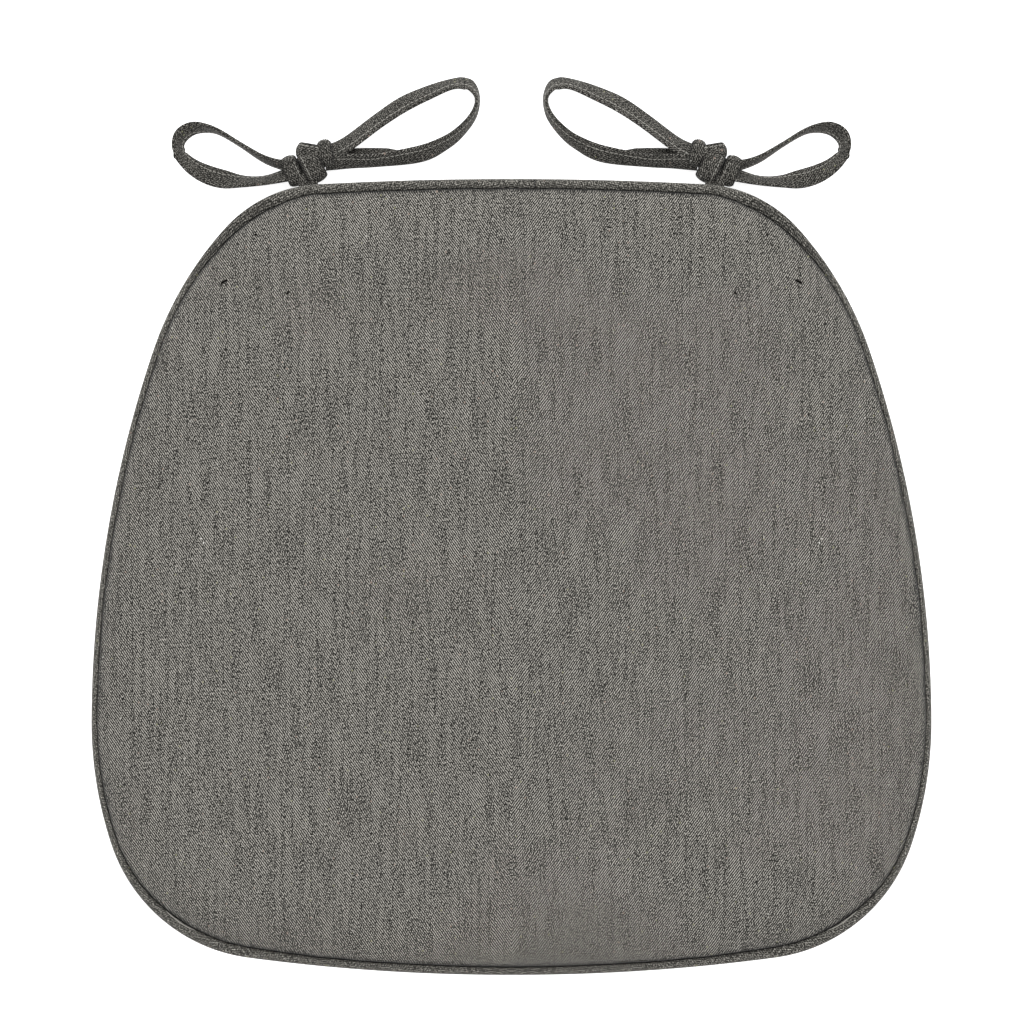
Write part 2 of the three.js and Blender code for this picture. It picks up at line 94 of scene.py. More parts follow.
# How much of the piping shows outside the top panel, along half of the outline, as a share of that half.
PIPING_SHOWN_AT = (0.0, 0.14, 0.185, 0.225, 0.26, 0.33, 0.62, 0.69, 0.745, 0.80, 0.86, 1.0)
PIPING_SHOWN = (4.8, 4.9, 6.3, 4.8, 3.3, 2.9, 2.8, 3.6, 5.4, 5.6, 4.4, 4.1)
SEAM_WANDER = 0.32  # how far the seam beside the piping wanders to each side
PIPING_JOINT_X = 11.9
JOINT_GAP = 0.02  # between the two ends of the piping
SEAM_OPEN = ((-176, -170), (-161, -180))  # from and to, where the thread of the seam shows
SEAM_THREAD = 0.26  # radius of that thread
WRINKLES_FROM = 0.16  # lengthwise wrinkles in the piping at the back corners
WRINKLES_TO = 0.275
WRINKLE_PITCH = 1.45
WRINKLE_DEPTH = 0.5
WRINKLE_DRIFT = 0.13

# The ties. Routes run from the tie's place in the seam: x towards the middle of the pad, y backwards.
KNOT_OFFSET = (1.5, 11.9)  # of the CAD knot's centre from the tie's place in the seam
TAPE_WIDTH = 10.0
TAPE_THICKNESS = 2.2
TAPE_STITCH = -2.4  # place of the topstitching across the tape
TAPE_STEP = 0.8
INNER_LOOP = [
    [9.5, 16.2], [19.9, 21.6], [35.7, 33.4], [48, 41.6], [60.3, 47.4], [72.6, 52], [80.2, 52.6], [84.4, 49.9],
    [86.6, 43.9], [84.2, 35.8], [77.4, 27.6], [69.6, 21.9], [57.2, 16.5], [35.2, 13.1], [21.4, 12.6],
    [8.6, 12],
]
OUTER_LOOP = [
    [-7.5, 6.4], [-22, 2.9], [-34.8, 2.4], [-47.6, 4.5], [-57.8, 8.8], [-65, 15], [-67, 20.6], [-65, 26.2],
    [-59.4, 29.5], [-52.2, 29.5], [-45, 27.2], [-34.8, 21.1], [-23.6, 14.2], [-14.4, 10.9], [-7.5, 10.8],
]
# How the tape lies at each point of its route: degrees turned up on its inner edge, and how far it is lifted.
INNER_LIE = [
    [-26, 3], [-38, 1.2], [-38, 0.2], [-34, 0], [-42, 0], [-56, 0], [-52, 0], [-66, 0],
    [-84, 0], [-74, 0], [-62, 0], [-50, 0], [-34, 0.6], [-52, 1.4], [-46, 2.4], [-34, 3.8],
]
OUTER_LIE = [
    [42, 2.5], [62, 0.8], [50, 0.2], [4, 0], [30, 0], [52, 0], [56, 0], [44, 0],
    [52, 0], [70, 0], [83, 0], [86, 0], [76, 0.4], [66, 1.6], [54, 3],
]
TAIL_END = [[9, 14.6], [20, 15.8], [33, 16.2], [45, 16], [54, 16.4]]
TAIL_LIE = [[10, 2], [6, 1], [4, 0.3], [0, 0.2], [0, 0.2]]
# Sharp folds across a tape: share of its length, and depth.
INNER_FOLDS = ((0.44, 0.2),)
OUTER_FOLDS = ((0.461, 0.75),)

# The bands of the knot: centre towards the middle and backwards from the knot's centre, height of the
# centre, half length, half height, width of the tape, degrees turned, and the place of its stitches across
# it. A band without stitches has lengthwise creases.
KNOT_BANDS = (
    (-9.7, -4.2, 6.0, 7.3, 4.9, 8.8, -6, 2.4),
    (0.5, -2.0, 7.6, 7.9, 6.2, 10.6, -4, -3.2),
    (0.2, 5.2, 7.2, 7.4, 5.4, 8.4, 50, 2.6),
    (7.4, 5.0, 7.0, 6.1, 5.7, 7.2, -18, None),
)
KNOT_TURN = -60.0  # the way that its bands run, in degrees from straight to the middle of the pad
KNOT_TAPE_THICKNESS = 1.9
KNOT_CREASE = 0.17  # depth of the creases in a band without stitches
KNOT_CUP = 1.2  # how far a band's edges sink below its middle
KNOT_PAINTED_SHADE = 0.8  # painted shade between the bands and over the knot's core, from 0 to 1
CORE_HEIGHT = 7.0
CORE_HALF = (7.8, 5.8, 4.6)
TAIL_THICKNESS = 1.8

# ---- Small helpers ----


def make_object(name, points, faces, attributes=None, smooth=True):
    """A mesh object from points in millimetres, with an optional vector for each point in each attribute."""
    mesh = bpy.data.meshes.new(name)
    mesh.from_pydata((np.asarray(points) * METRES).tolist(), [], [list(map(int, f)) for f in faces])
    for key, values in (attributes or {}).items():
        layer = mesh.attributes.new(key, "FLOAT_VECTOR", "POINT")
        layer.data.foreach_set("vector", np.asarray(values, np.float32).ravel())
    mesh.validate()
    if smooth:
        mesh.polygons.foreach_set("use_smooth", np.ones(len(mesh.polygons), bool))
    made = bpy.data.objects.new(name, mesh)
    bpy.context.scene.collection.objects.link(made)
    return made


def settle(piece, body, slot, *nodes):
    """Puts a piece on its body, and puts it in the place of CAD nodes, if there are any, which it hides. Its
    slot is not used.
    """
    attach(piece, body)
    if nodes:
        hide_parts(*nodes)


def unit(vectors):
    return vectors / np.linalg.norm(vectors, axis=-1, keepdims=True)


def smooth_step(value, low, high):
    share = np.clip((value - low) / (high - low), 0, 1)
    return share * share * (3 - 2 * share)


def wave_noise(values, seed):
    """Smooth noise from -1 to 1 at each value."""
    flat = np.ravel(values)
    found = [noise.noise(Vector((v, seed * 17.3, seed * 5.1))) for v in flat]
    return np.array(found).reshape(np.shape(values))


def apply_modifiers(target):
    """Puts the result of the modifiers into the mesh, and removes them."""
    graph = bpy.context.evaluated_depsgraph_get()
    made = bpy.data.meshes.new_from_object(target.evaluated_get(graph))
    target.modifiers.clear()
    old = target.data
    target.data = made
    bpy.data.meshes.remove(old)
    made.name = target.name


def tube_faces(count_along, count_round, closed):
    """Quads of a tube whose points are stored ring by ring, with a face at each end of an open one."""
    faces = []
    for i in range(count_along if closed else count_along - 1):
        a, b = i * count_round, ((i + 1) % count_along) * count_round
        for j in range(count_round):
            k = (j + 1) % count_round
            faces.append((a + j, a + k, b + k, b + j))
    if not closed:
        faces.append(tuple(range(count_round))[::-1])
        faces.append(tuple(range((count_along - 1) * count_round, count_along * count_round)))
    return faces


class Shape:
    """Points, faces and cloth coordinates that build up piece by piece."""

    def __init__(self):
        self.points, self.faces, self.cloth, self.slots, self.count = [], [], [], [], 0

    def add(self, points, faces, cloth=None, slot=0):
        points = np.reshape(points, (-1, 3)).astype(float)
        self.points.append(points)
        self.cloth.append(points if cloth is None else np.reshape(cloth, (-1, 3)).astype(float))
        self.faces += [tuple(int(v) + self.count for v in f) for f in faces]
        self.slots += [slot] * len(faces)
        self.count += len(points)

    def make(self, name, materials, mirror=False):
        points, cloth = np.concatenate(self.points), np.concatenate(self.cloth)
        faces = self.faces
        if mirror:
            points = points * (-1, 1, 1)
            cloth = cloth * (1, -1, 1)
            faces = [f[::-1] for f in faces]
        made = make_object(name, points, faces, {"cloth": cloth})
        for material in materials:
            made.data.materials.append(material)
        made.data.polygons.foreach_set("material_index", self.slots)
        return made


# ---- Materials ----


class Graph:
    """Builds a procedural material. A value is a number, a colour or vector, or another node's socket."""

    def __init__(self, name):
        self.material = bpy.data.materials.new(name)
        self.material.use_nodes = True
        self.tree = self.material.node_tree
        self.shader = self.tree.nodes["Principled BSDF"]

    def node(self, kind, inputs=None, **settings):
        made = self.tree.nodes.new(kind)
        for key, value in settings.items():
            setattr(made, key, value)
        for key, value in (inputs or {}).items():
            self.feed(made.inputs[key], value)
        return made

    def feed(self, socket, value):
        if isinstance(value, bpy.types.NodeSocket):
            self.tree.links.new(value, socket)
        else:
            socket.default_value = value

    def math(self, operation, *values):
        return self.node("ShaderNodeMath", dict(enumerate(values)), operation=operation).outputs[0]

    def cloth(self):
        """The cloth's own coordinates in millimetres: their vector, and x, y and z."""
        held = self.node("ShaderNodeAttribute", attribute_name="cloth")
        split = self.node("ShaderNodeSeparateXYZ", {0: held.outputs["Vector"]})
        return held.outputs["Vector"], split.outputs[0], split.outputs[1], split.outputs[2]

    def place(self, x, y, z=0.0):
        return self.node("ShaderNodeCombineXYZ", {0: x, 1: y, 2: z}).outputs[0]

    def scaled(self, value, factor):
        return self.math("MULTIPLY", value, factor)

    def noise(self, vector, scale, detail=2.0, low=0.3, high=0.7):
        """Noise stretched so that low and high become 0 and 1."""
        made = self.node("ShaderNodeTexNoise", {"Vector": vector, "Scale": scale, "Detail": detail})
        return self.stretch(made.outputs[0], low, high)

    def stretch(self, value, low, high, to_low=0.0, to_high=1.0):
        inputs = {"Value": value, "From Min": low, "From Max": high, "To Min": to_low, "To Max": to_high}
        return self.node("ShaderNodeMapRange", inputs).outputs[0]

    def wave(self, cycles):
        """A wave from 0 to 1, with one period for each whole number."""
        angle = self.scaled(cycles, 2 * math.pi)
        return self.math("MULTIPLY_ADD", self.math("SINE", angle), 0.5, 0.5)

    def blend(self, share, a, b):
        made = self.node("ShaderNodeMix", {"Factor": share}, data_type="RGBA")
        self.feed(made.inputs[6], a)
        self.feed(made.inputs[7], b)
        return made.outputs[2]

    def total(self, *weighted):
        """The sum of (value, weight) pairs."""
        found = 0.0
        for value, weight in weighted:
            found = self.math("MULTIPLY_ADD", value, weight, found)
        return found

    def bump(self, height, strength, distance):
        made = self.node("ShaderNodeBump", {"Height": height, "Strength": strength, "Distance": distance})
        self.feed(self.shader.inputs["Normal"], made.outputs[0])

    def finish(self, color, roughness, **others):
        self.feed(self.shader.inputs["Base Color"], color)
        self.feed(self.shader.inputs["Roughness"], roughness)
        for key, value in others.items():
            self.feed(self.shader.inputs[key.replace("_", " ")], value)
        return self.material


TWILL_X = 1.27  # period of the twill's lines across and along the cloth
TWILL_Y = 1.79
DARK_YARN = (0.010, 0.0098, 0.0085, 1)
LIGHT_YARN = (0.465, 0.445, 0.402, 1)
FLECKS = (  # colour and how rare it is, from 0 to 1
    ((0.40, 0.30, 0.25, 1), 0.965),
    ((0.34, 0.34, 0.20, 1), 0.970),
    ((0.55, 0.54, 0.50, 1), 0.980),
)


def twill(name, bright=1.0, mirrored=False, contrast=1.0, lines=0.46):
    """Melange twill: slanting lines of yarn crowns, light and dark fibres mixed in streaks, and odd flecks.
    The third coordinate of its cloth is painted shade, from 0 to 1, which darkens the colour in seams,
    wrinkles, gaps and between bands."""
    g = Graph(name)
    _, x, y, depth = g.cloth()
    vector = g.place(x, y)
    side = g.math("ABSOLUTE", x) if mirrored else x
    wobble = g.noise(vector, 0.11, 2.0, 0.0, 1.0)
    line = g.wave(g.total((y, 1 / TWILL_Y), (side, -1 / TWILL_X), (wobble, 0.8)))
    crowns = g.wave(g.total((y, 0.5 / TWILL_Y), (side, 1.1 / TWILL_X), (wobble, 0.6)))
    fibre = g.noise(g.place(g.scaled(x, 1.25), g.scaled(y, 0.8)), 1.0, 3.0, 0.36, 0.64)
    speck = g.noise(g.place(g.scaled(x, 1.9), g.scaled(y, 1.5), 31.0), 1.0, 1.0, 0.34, 0.66)
    column = g.noise(g.place(g.scaled(x, 0.40), g.scaled(y, 0.03), 19.0), 1.0, 2.0, 0.34, 0.66)
    swing = g.math("MULTIPLY", g.math("SUBTRACT", line, 0.5), g.stretch(column, 0, 1, 0.4, 1.5))
    woven = g.total((swing, lines), (crowns, 0.12), (fibre, 0.26), (speck, 0.38))
    tone = g.stretch(woven, 0.38 - 0.012 / contrast, 0.38 + 0.243 / contrast)
    dark = tuple(c * bright for c in DARK_YARN[:3]) + (1,)
    light = tuple(c * bright for c in LIGHT_YARN[:3]) + (1,)
    streak = g.noise(g.place(g.scaled(x, 0.42), g.scaled(y, 0.05), 7.0), 1.0, 2.0, 0.32, 0.68)
    mottle = g.noise(vector, 0.16, 3.0, 0.3, 0.7)
    shade = g.total((streak, 0.10), (mottle, 0.14), (1.0, 0.88))
    # Painted shade: the colour is darkened by the cloth's third coordinate, which holds the shade painted in
    # seams, wrinkles, the piping's joint and between the knot's bands.
    shade = g.math("MULTIPLY", shade, g.math("SUBTRACT", 1.0, depth))
    yarn = g.blend(tone, dark, light)
    shades = g.place(shade, shade, shade)
    color = g.node("ShaderNodeVectorMath", {0: yarn, 1: shades}, operation="MULTIPLY").outputs[0]
    for i, (fleck, rare) in enumerate(FLECKS):
        cells = g.node("ShaderNodeTexVoronoi", {"Vector": g.place(x, y, 9.0 * i), "Scale": 0.42})
        chosen = g.node("ShaderNodeSeparateColor", {0: cells.outputs["Color"]}).outputs[0]
        near = g.math("LESS_THAN", cells.outputs["Distance"], 0.20)
        share = g.math("MULTIPLY", g.math("GREATER_THAN", chosen, rare), near)
        color = g.blend(g.scaled(share, 0.55), color, fleck)
    relief = g.total((line, 0.6), (crowns, 0.25), (fibre, 0.3))
    g.bump(relief, 0.55, 0.25 * METRES)
    return g.finish(color, g.stretch(tone, 0, 1, 0.98, 0.86), Sheen_Weight=0.08, Specular_IOR_Level=0.15)


def thread_material(name, color):
    """Sewing thread: two plies that wind round each other."""
    g = Graph(name)
    vector, x, y, z = g.cloth()
    ply = g.wave(g.total((x, 2.2), (y, 1.4), (z, 1.0)))
    fuzz = g.noise(vector, 3.0)
    shade = g.total((ply, 0.5), (fuzz, 0.5))
    g.bump(ply, 0.5, 0.05 * METRES)
    darker = tuple(c * 0.55 for c in color[:3]) + (1,)
    return g.finish(g.blend(shade, darker, color), 0.7, Sheen_Weight=0.1)


def fibre_material(name, dark, light, scale, depth, sheen=0.2):
    """Loose or spun fibre, such as wadding or filler cord."""
    g = Graph(name)
    vector, x, y, z = g.cloth()
    clump = g.noise(vector, scale, 4.0)
    hair = g.noise(g.place(g.scaled(x, 6), g.scaled(y, 1.5), g.scaled(z, 4)), scale, 3.0)
    shade = g.total((clump, 0.6), (hair, 0.4))
    g.bump(shade, 0.8, depth)
    return g.finish(g.blend(shade, dark, light), 0.95, Sheen_Weight=sheen, Specular_IOR_Level=sheen)


def foam_material():
    """Cream open-cell foam: round cells with thin bright walls."""
    g = Graph("foam")
    vector, *_ = g.cloth()
    cells = g.node("ShaderNodeTexVoronoi", {"Vector": vector, "Scale": 0.9}, feature="DISTANCE_TO_EDGE")
    wall = g.stretch(cells.outputs["Distance"], 0.0, 0.28)
    stain = g.noise(vector, 0.03, 3.0)
    near = g.blend(stain, (0.70, 0.60, 0.38, 1), (0.83, 0.77, 0.58, 1))
    g.bump(wall, 0.8, 0.4 * METRES)
    return g.finish(g.blend(wall, near, (0.46, 0.38, 0.22, 1)), 0.92)


def zip_tape_material():
    """Woven zip tape: a fine herringbone with ribs along its length."""
    g = Graph("zip_tape")
    vector, x, y, _ = g.cloth()
    zigzag = g.math("PINGPONG", y, 1.5)
    weave = g.wave(g.total((x, 1.5), (zigzag, 1.1)))
    rib = g.wave(g.scaled(y, 0.9))
    grain = g.noise(vector, 1.6, 2.0)
    shade = g.total((weave, 0.5), (rib, 0.15), (grain, 0.35))
    g.bump(g.total((weave, 0.7), (rib, 0.3)), 0.6, 0.12 * METRES)
    return g.finish(g.blend(shade, (0.045, 0.043, 0.038, 1), (0.135, 0.130, 0.115, 1)), 0.85)


def coil_material():
    """Dark nylon monofilament with a slight gloss."""
    g = Graph("zip_coil")
    vector, *_ = g.cloth()
    wear = g.noise(vector, 0.7, 3.0)
    return g.finish(
        g.blend(wear, (0.050, 0.049, 0.045, 1), (0.085, 0.083, 0.076, 1)),
        g.stretch(wear, 0, 1, 0.32, 0.5),
    )


def metal_material():
    """Dull nickel with fine scratches, darker where it was handled."""
    g = Graph("zip_metal")
    at = g.node("ShaderNodeTexCoord").outputs["Object"]
    split = g.node("ShaderNodeSeparateXYZ", {0: at})
    x, y, z = (g.scaled(split.outputs[i], 1 / METRES) for i in range(3))
    scratch = g.noise(g.place(g.scaled(x, 0.4), g.scaled(y, 5.0), g.scaled(z, 5.0)), 1.2, 4.0)
    wear = g.noise(g.place(x, y, z), 0.35, 3.0)
    g.bump(scratch, 0.25, 0.03 * METRES)
    shade = g.total((scratch, 0.4), (wear, 0.6))
    color = g.blend(shade, (0.20, 0.195, 0.185, 1), (0.44, 0.43, 0.41, 1))
    return g.finish(color, g.stretch(shade, 0, 1, 0.5, 0.28), Metallic=1.0)


FLOOR_GLOW = 0.8  # the pad lies on a light table, which takes its shadow away


def floor_material():
    """Matt white paper with a faint unevenness."""
    g = Graph("studio_floor")
    at = g.node("ShaderNodeTexCoord").outputs["Object"]
    grain = g.noise(at, 3.0, 3.0)
    color = g.blend(grain, (0.93, 0.93, 0.93, 1), (0.95, 0.95, 0.95, 1))
    return g.finish(color, 0.9, Emission_Color=(1, 1, 1, 1), Emission_Strength=FLOOR_GLOW)


MATERIALS = {
    "cover": twill("cover_twill", bright=0.97, mirrored=True),
    "piping": twill("piping_twill", bright=2.15, contrast=0.28, lines=0.15),
    "tie": twill("tie_twill", bright=0.95, contrast=0.44, lines=0.22),
    "thread": thread_material("topstitch_thread", (0.50, 0.485, 0.44, 1)),
    "cord": fibre_material("filler_cord", (0.50, 0.46, 0.38, 1), (0.74, 0.70, 0.62, 1), 0.8, 0.2 * METRES),
    "wadding": fibre_material("wadding", (0.74, 0.73, 0.70, 1), (0.92, 0.91, 0.89, 1), 0.25, 0.8 * METRES),
    "foam": foam_material(),
    "zip_tape": zip_tape_material(),
    "zip_coil": coil_material(),
    "zip_metal": metal_material(),
    "dark_lint": fibre_material("dark_lint", (0.003, 0.003, 0.003, 1), (0.010, 0.009, 0.008, 1), 2.0, 0, 0.0),
    "pale_lint": fibre_material("pale_lint", (0.55, 0.54, 0.50, 1), (0.80, 0.79, 0.76, 1), 2.0, 0),
}

# ---- The camera: straight above, a little behind the middle of the pad ----

PICTURE_WIDTH = 523.6  # of the view at the height of the seam
PICTURE_MIDDLE = (0.26, 33.2)
LENS, SENSOR = 250.0, 36.0


def make_camera():
    data = bpy.data.cameras.new("camera")
    data.lens = LENS
    data.sensor_width = SENSOR
    camera = bpy.data.objects.new("camera", data)
    distance = PICTURE_WIDTH * LENS / SENSOR
    camera.location = Vector((*PICTURE_MIDDLE, SEAM_HEIGHT + distance)) * METRES
    camera.rotation_euler = (0, 0, 0)
    bpy.context.scene.collection.objects.link(camera)
    bpy.context.scene.camera = camera


make_camera()

# ---- The ties ----


def smooth_route(rows, step):
    """Rows of numbers, the first of them coordinates, drawn out along a Catmull-Rom curve at even steps."""
    rows = np.asarray(rows, float)
    padded = np.vstack([2 * rows[0] - rows[1], rows, 2 * rows[-1] - rows[-2]])
    fine = []
    for i in range(1, len(padded) - 2):
        a, b, c, d = padded[i - 1 : i + 3]
        first, second, third = c - a, 2 * a - 5 * b + 4 * c - d, 3 * b - a - 3 * c + d
        for t in np.linspace(0, 1, 24, endpoint=False):
            fine.append(0.5 * (2 * b + first * t + second * t**2 + third * t**3))
    fine = np.array(fine + [padded[-2]])
    length = np.concatenate([[0], np.cumsum(np.linalg.norm(np.diff(fine[:, :2], axis=0), axis=1))])
    at = np.linspace(0, length[-1], int(length[-1] / step) + 1)
    return np.stack([np.interp(at, length, fine[:, i]) for i in range(fine.shape[1])], axis=1)


def tape_section(width, thickness, stitch=None, creases=0.0):
    """Points across a folded tape: across it from -1 to 1, and its half thickness there."""
    count = 33 if creases else 17
    across = np.sin(np.linspace(-math.pi / 2, math.pi / 2, count))
    half = thickness / 2 * np.sqrt(np.clip(1 - np.abs(across) ** 5, 0, 1))
    if stitch is not None:
        half -= 0.28 * np.exp(-(((across * width / 2 - stitch) / 0.42) ** 2)) * (np.abs(across) < 0.95)
    if creases:
        half += creases * np.cos(2 * math.pi * across * width / 2 / 1.25) * (np.abs(across) < 0.9)
    return across, half


def ribbon(
    shape, centres, across, normal, width, thickness,
    closed=False, stitch=None, creases=0.0, narrowing=1.0, cup=0.0, shade=0.0,
):
    """Adds a tape to a shape: its centres, the way across it and the way out of its face, ring by ring.
    Its edges sink by `cup`, and `shade` paints shade into the colour of its edges."""
    where, half = tape_section(width, thickness, stitch, creases)
    ring = [(a, h, 1) for a, h in zip(where, half)]
    ring += [(a, h, -1) for a, h in zip(where[-2:0:-1], half[-2:0:-1])]
    ring = np.array(ring)
    along = np.linalg.norm(np.diff(centres, axis=0, append=centres[:1]), axis=1)
    at = np.concatenate([[0], np.cumsum(along)[:-1]])
    sideways = ring[:, 0][None, :] * np.reshape(narrowing, (-1, 1)) * width / 2
    outwards = (ring[:, 1] * ring[:, 2] - cup * ring[:, 0] ** 2)[None, :]
    points = centres[:, None, :] + across[:, None, :] * sideways[:, :, None]
    points = points + normal[:, None, :] * outwards[:, :, None]
    cloth = np.zeros_like(points)
    cloth[:, :, 0] = (ring[:, 0] * width / 2)[None, :] + 40 * (ring[:, 2] < 0)[None, :]
    cloth[:, :, 1] = at[:, None]
    # Painted shade along the tape's edges, kept in the cloth's third coordinate.
    cloth[:, :, 2] = shade * smooth_step(np.abs(ring[:, 0]), 0.72, 0.98)[None, :]
    faces = [f[::-1] for f in tube_faces(len(centres), len(ring), closed)]
    shape.add(points, faces, cloth)
    if stitch is None:
        return
    depth = np.interp(stitch, where * width / 2, half)
    for face in (1, -1):
        sag = cup * (2 * stitch / width) ** 2
        line = centres + across * stitch + normal * (face * (depth + 0.02) - sag)
        stitch_line(shape, line, normal * face, closed)


STITCH_PITCH, STITCH_LENGTH, STITCH_RADIUS = 2.5, 2.0, 0.17


def stitch_line(shape, line, normal, closed=False):
    """A row of stitches along a line of points: short threads that dip into the cloth at both ends."""
    if closed:
        line, normal = np.vstack([line, line[:1]]), np.vstack([normal, normal[:1]])
    length = np.concatenate([[0], np.cumsum(np.linalg.norm(np.diff(line, axis=0), axis=1))])

    def at(s, rows):
        return np.array([np.interp(s, length, rows[:, i]) for i in range(3)])

    for k in range(int(length[-1] / STITCH_PITCH)):
        start = (k + 0.5) * STITCH_PITCH - STITCH_LENGTH / 2
        rings = []
        for t in (0.0, 0.12, 0.35, 0.65, 0.88, 1.0):
            s = start + t * STITCH_LENGTH
            middle, out = at(s, line), unit(at(s, normal))
            way = unit(at(min(s + 0.1, length[-1]), line) - at(max(s - 0.1, 0), line))
            side = np.cross(way, out)
            middle = middle + out * (0.16 * math.sin(math.pi * t) - 0.10)
            radius = STITCH_RADIUS * (0.45 + 0.55 * math.sin(math.pi * t) ** 0.5)
            for angle in np.linspace(0, 2 * math.pi, 6, endpoint=False):
                rings.append(middle + radius * (side * math.cos(angle) + out * math.sin(angle)))
        shape.add(rings, tube_faces(6, 6, False), slot=1)


def tie_frame():
    """Where the left tie leaves the seam, from the CAD knot."""
    low, high = box_mm("tie_left_knot")
    return np.array([(low[0] + high[0]) / 2 - KNOT_OFFSET[0], (low[1] + high[1]) / 2 - KNOT_OFFSET[1]])


TIE_AT = tie_frame()


def lay_tape(route, lie, folds):
    """Centres of a loop, the way across the tape and the way out of its face, on the left tie."""
    rows = smooth_route([[u, v, turn, lift] for (u, v), (turn, lift) in zip(route, lie)], TAPE_STEP)
    turn, lift = np.radians(rows[:, 2]), rows[:, 3]
    rest = np.abs(np.sin(turn)) * TAPE_WIDTH / 2 + np.abs(np.cos(turn)) * TAPE_THICKNESS / 2
    centres = np.column_stack([TIE_AT + rows[:, :2], rest + 0.3 + lift])
    flat_way = unit(np.gradient(centres, axis=0) * (1, 1, 0))
    outward = np.cross((0, 0, 1), flat_way)
    across = outward * np.cos(turn)[:, None] + np.array((0, 0, 1)) * np.sin(turn)[:, None]
    normal = unit(np.cross(unit(np.gradient(centres, axis=0)), across))
    share = np.linspace(0, 1, len(centres))
    for at, depth in folds:
        dip = np.exp(-(((share - at) / 0.006) ** 2)) - 0.5 * np.exp(-(((share - at - 0.014) / 0.009) ** 2))
        centres = centres - normal * (dip * depth)[:, None]
    return centres, across, normal


def knot_band(shape, centre, band):
    """One turn of tape round the knot."""
    u, v, height, half_length, half_height, width, turn, stitch = band
    angle = math.radians(KNOT_TURN + turn)
    way = np.array((math.cos(angle), math.sin(angle), 0))
    axis = np.array((-math.sin(angle), math.cos(angle), 0))
    round_it = np.linspace(0, 2 * math.pi, 56, endpoint=False)
    power = 0.8  # squarer than an ellipse
    along = np.sign(np.cos(round_it)) * np.abs(np.cos(round_it)) ** power * half_length
    up = np.sign(np.sin(round_it)) * np.abs(np.sin(round_it)) ** power * half_height
    middle = np.array((centre[0] + u, centre[1] + v, height))
    centres = middle + way * along[:, None] + np.array((0, 0, 1)) * up[:, None]
    tangent = unit(np.roll(centres, -1, axis=0) - np.roll(centres, 1, axis=0))
    across = np.tile(axis, (len(centres), 1))
    normal = unit(np.cross(tangent, across))
    if np.mean(np.sum(normal * (centres - middle), axis=1)) < 0:
        across, normal = -across, -normal
        stitch = stitch and -stitch
    ribbon(
        shape, centres, across, normal, width, KNOT_TAPE_THICKNESS,
        closed=True, stitch=stitch, creases=0.0 if stitch else KNOT_CREASE, cup=KNOT_CUP, shade=KNOT_PAINTED_SHADE,
    )


def knot_core(shape, centre):
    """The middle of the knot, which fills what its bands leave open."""
    rings, sides = 14, 22
    points = []
    for i in range(1, rings):
        tilt = math.pi * i / rings
        for j in range(sides):
            turn = 2 * math.pi * j / sides
            flat = math.sin(tilt)
            way = np.array((flat * math.cos(turn), flat * math.sin(turn), math.cos(tilt)))
            swell = 1 + 0.12 * noise.noise(Vector(way * 2.2))
            points.append(np.array((*centre, CORE_HEIGHT)) + way * CORE_HALF * swell)
    # The whole core is painted dark with shade, as it lies between the bands.
    cloth = np.array(points) * (1, 1, 0) + (0, 0, KNOT_PAINTED_SHADE)
    shape.add(points, tube_faces(rings - 1, sides, False), cloth)


def make_tie(place, side):
    """One bow: two loops of tape, the knot, a short tail, and the leg that is sewn into the seam."""
    mirror = side > 0
    body = "tie_" + place
    materials = [MATERIALS["tie"], MATERIALS["thread"]]
    centre = TIE_AT + KNOT_OFFSET

    knot = Shape()
    knot_core(knot, centre)
    for band in KNOT_BANDS:
        knot_band(knot, centre, band)
    knot_piece = knot.make(body + "_knot_bands", materials, mirror)
    settle(knot_piece, body, "tie_cloth", body + "_knot")

    tail = Shape()
    centres, across, normal = lay_tape(TAIL_END, TAIL_LIE, ())
    narrowing = np.interp(np.linspace(0, 1, len(centres)), (0, 0.7, 1), (0.7, 0.7, 0.25))
    ribbon(tail, centres, across, normal, TAPE_WIDTH, TAIL_THICKNESS, narrowing=narrowing)
    tail_piece = tail.make(body + "_tail_end", materials, mirror)
    settle(tail_piece, body, "tie_cloth")

    for loop, route, lie, folds in (
        ("inner", INNER_LOOP, INNER_LIE, INNER_FOLDS),
        ("outer", OUTER_LOOP, OUTER_LIE, OUTER_FOLDS),
    ):
        shape = Shape()
        centres, across, normal = lay_tape(route, lie, folds)
        ribbon(shape, centres, across, normal, TAPE_WIDTH, TAPE_THICKNESS, stitch=TAPE_STITCH)
        piece = shape.make(f"{body}_{loop}_tape", materials, mirror)
        settle(piece, body, "tie_cloth", f"{body}_{loop}_loop")
    make_leg(place, mirror, materials)


LEG_WIDTH, LEG_THICKNESS = 10.0, 1.3
# The leg's middle line: distance out of the seam's edge (below zero is inside the pad) and height.
LEG_LINE = ((-12, 13.3), (-7, 13.2), (-4, 12.6), (-2.2, 11.7), (0, 11.4), (3, 10.6), (6, 9.4), (9, 8.4))


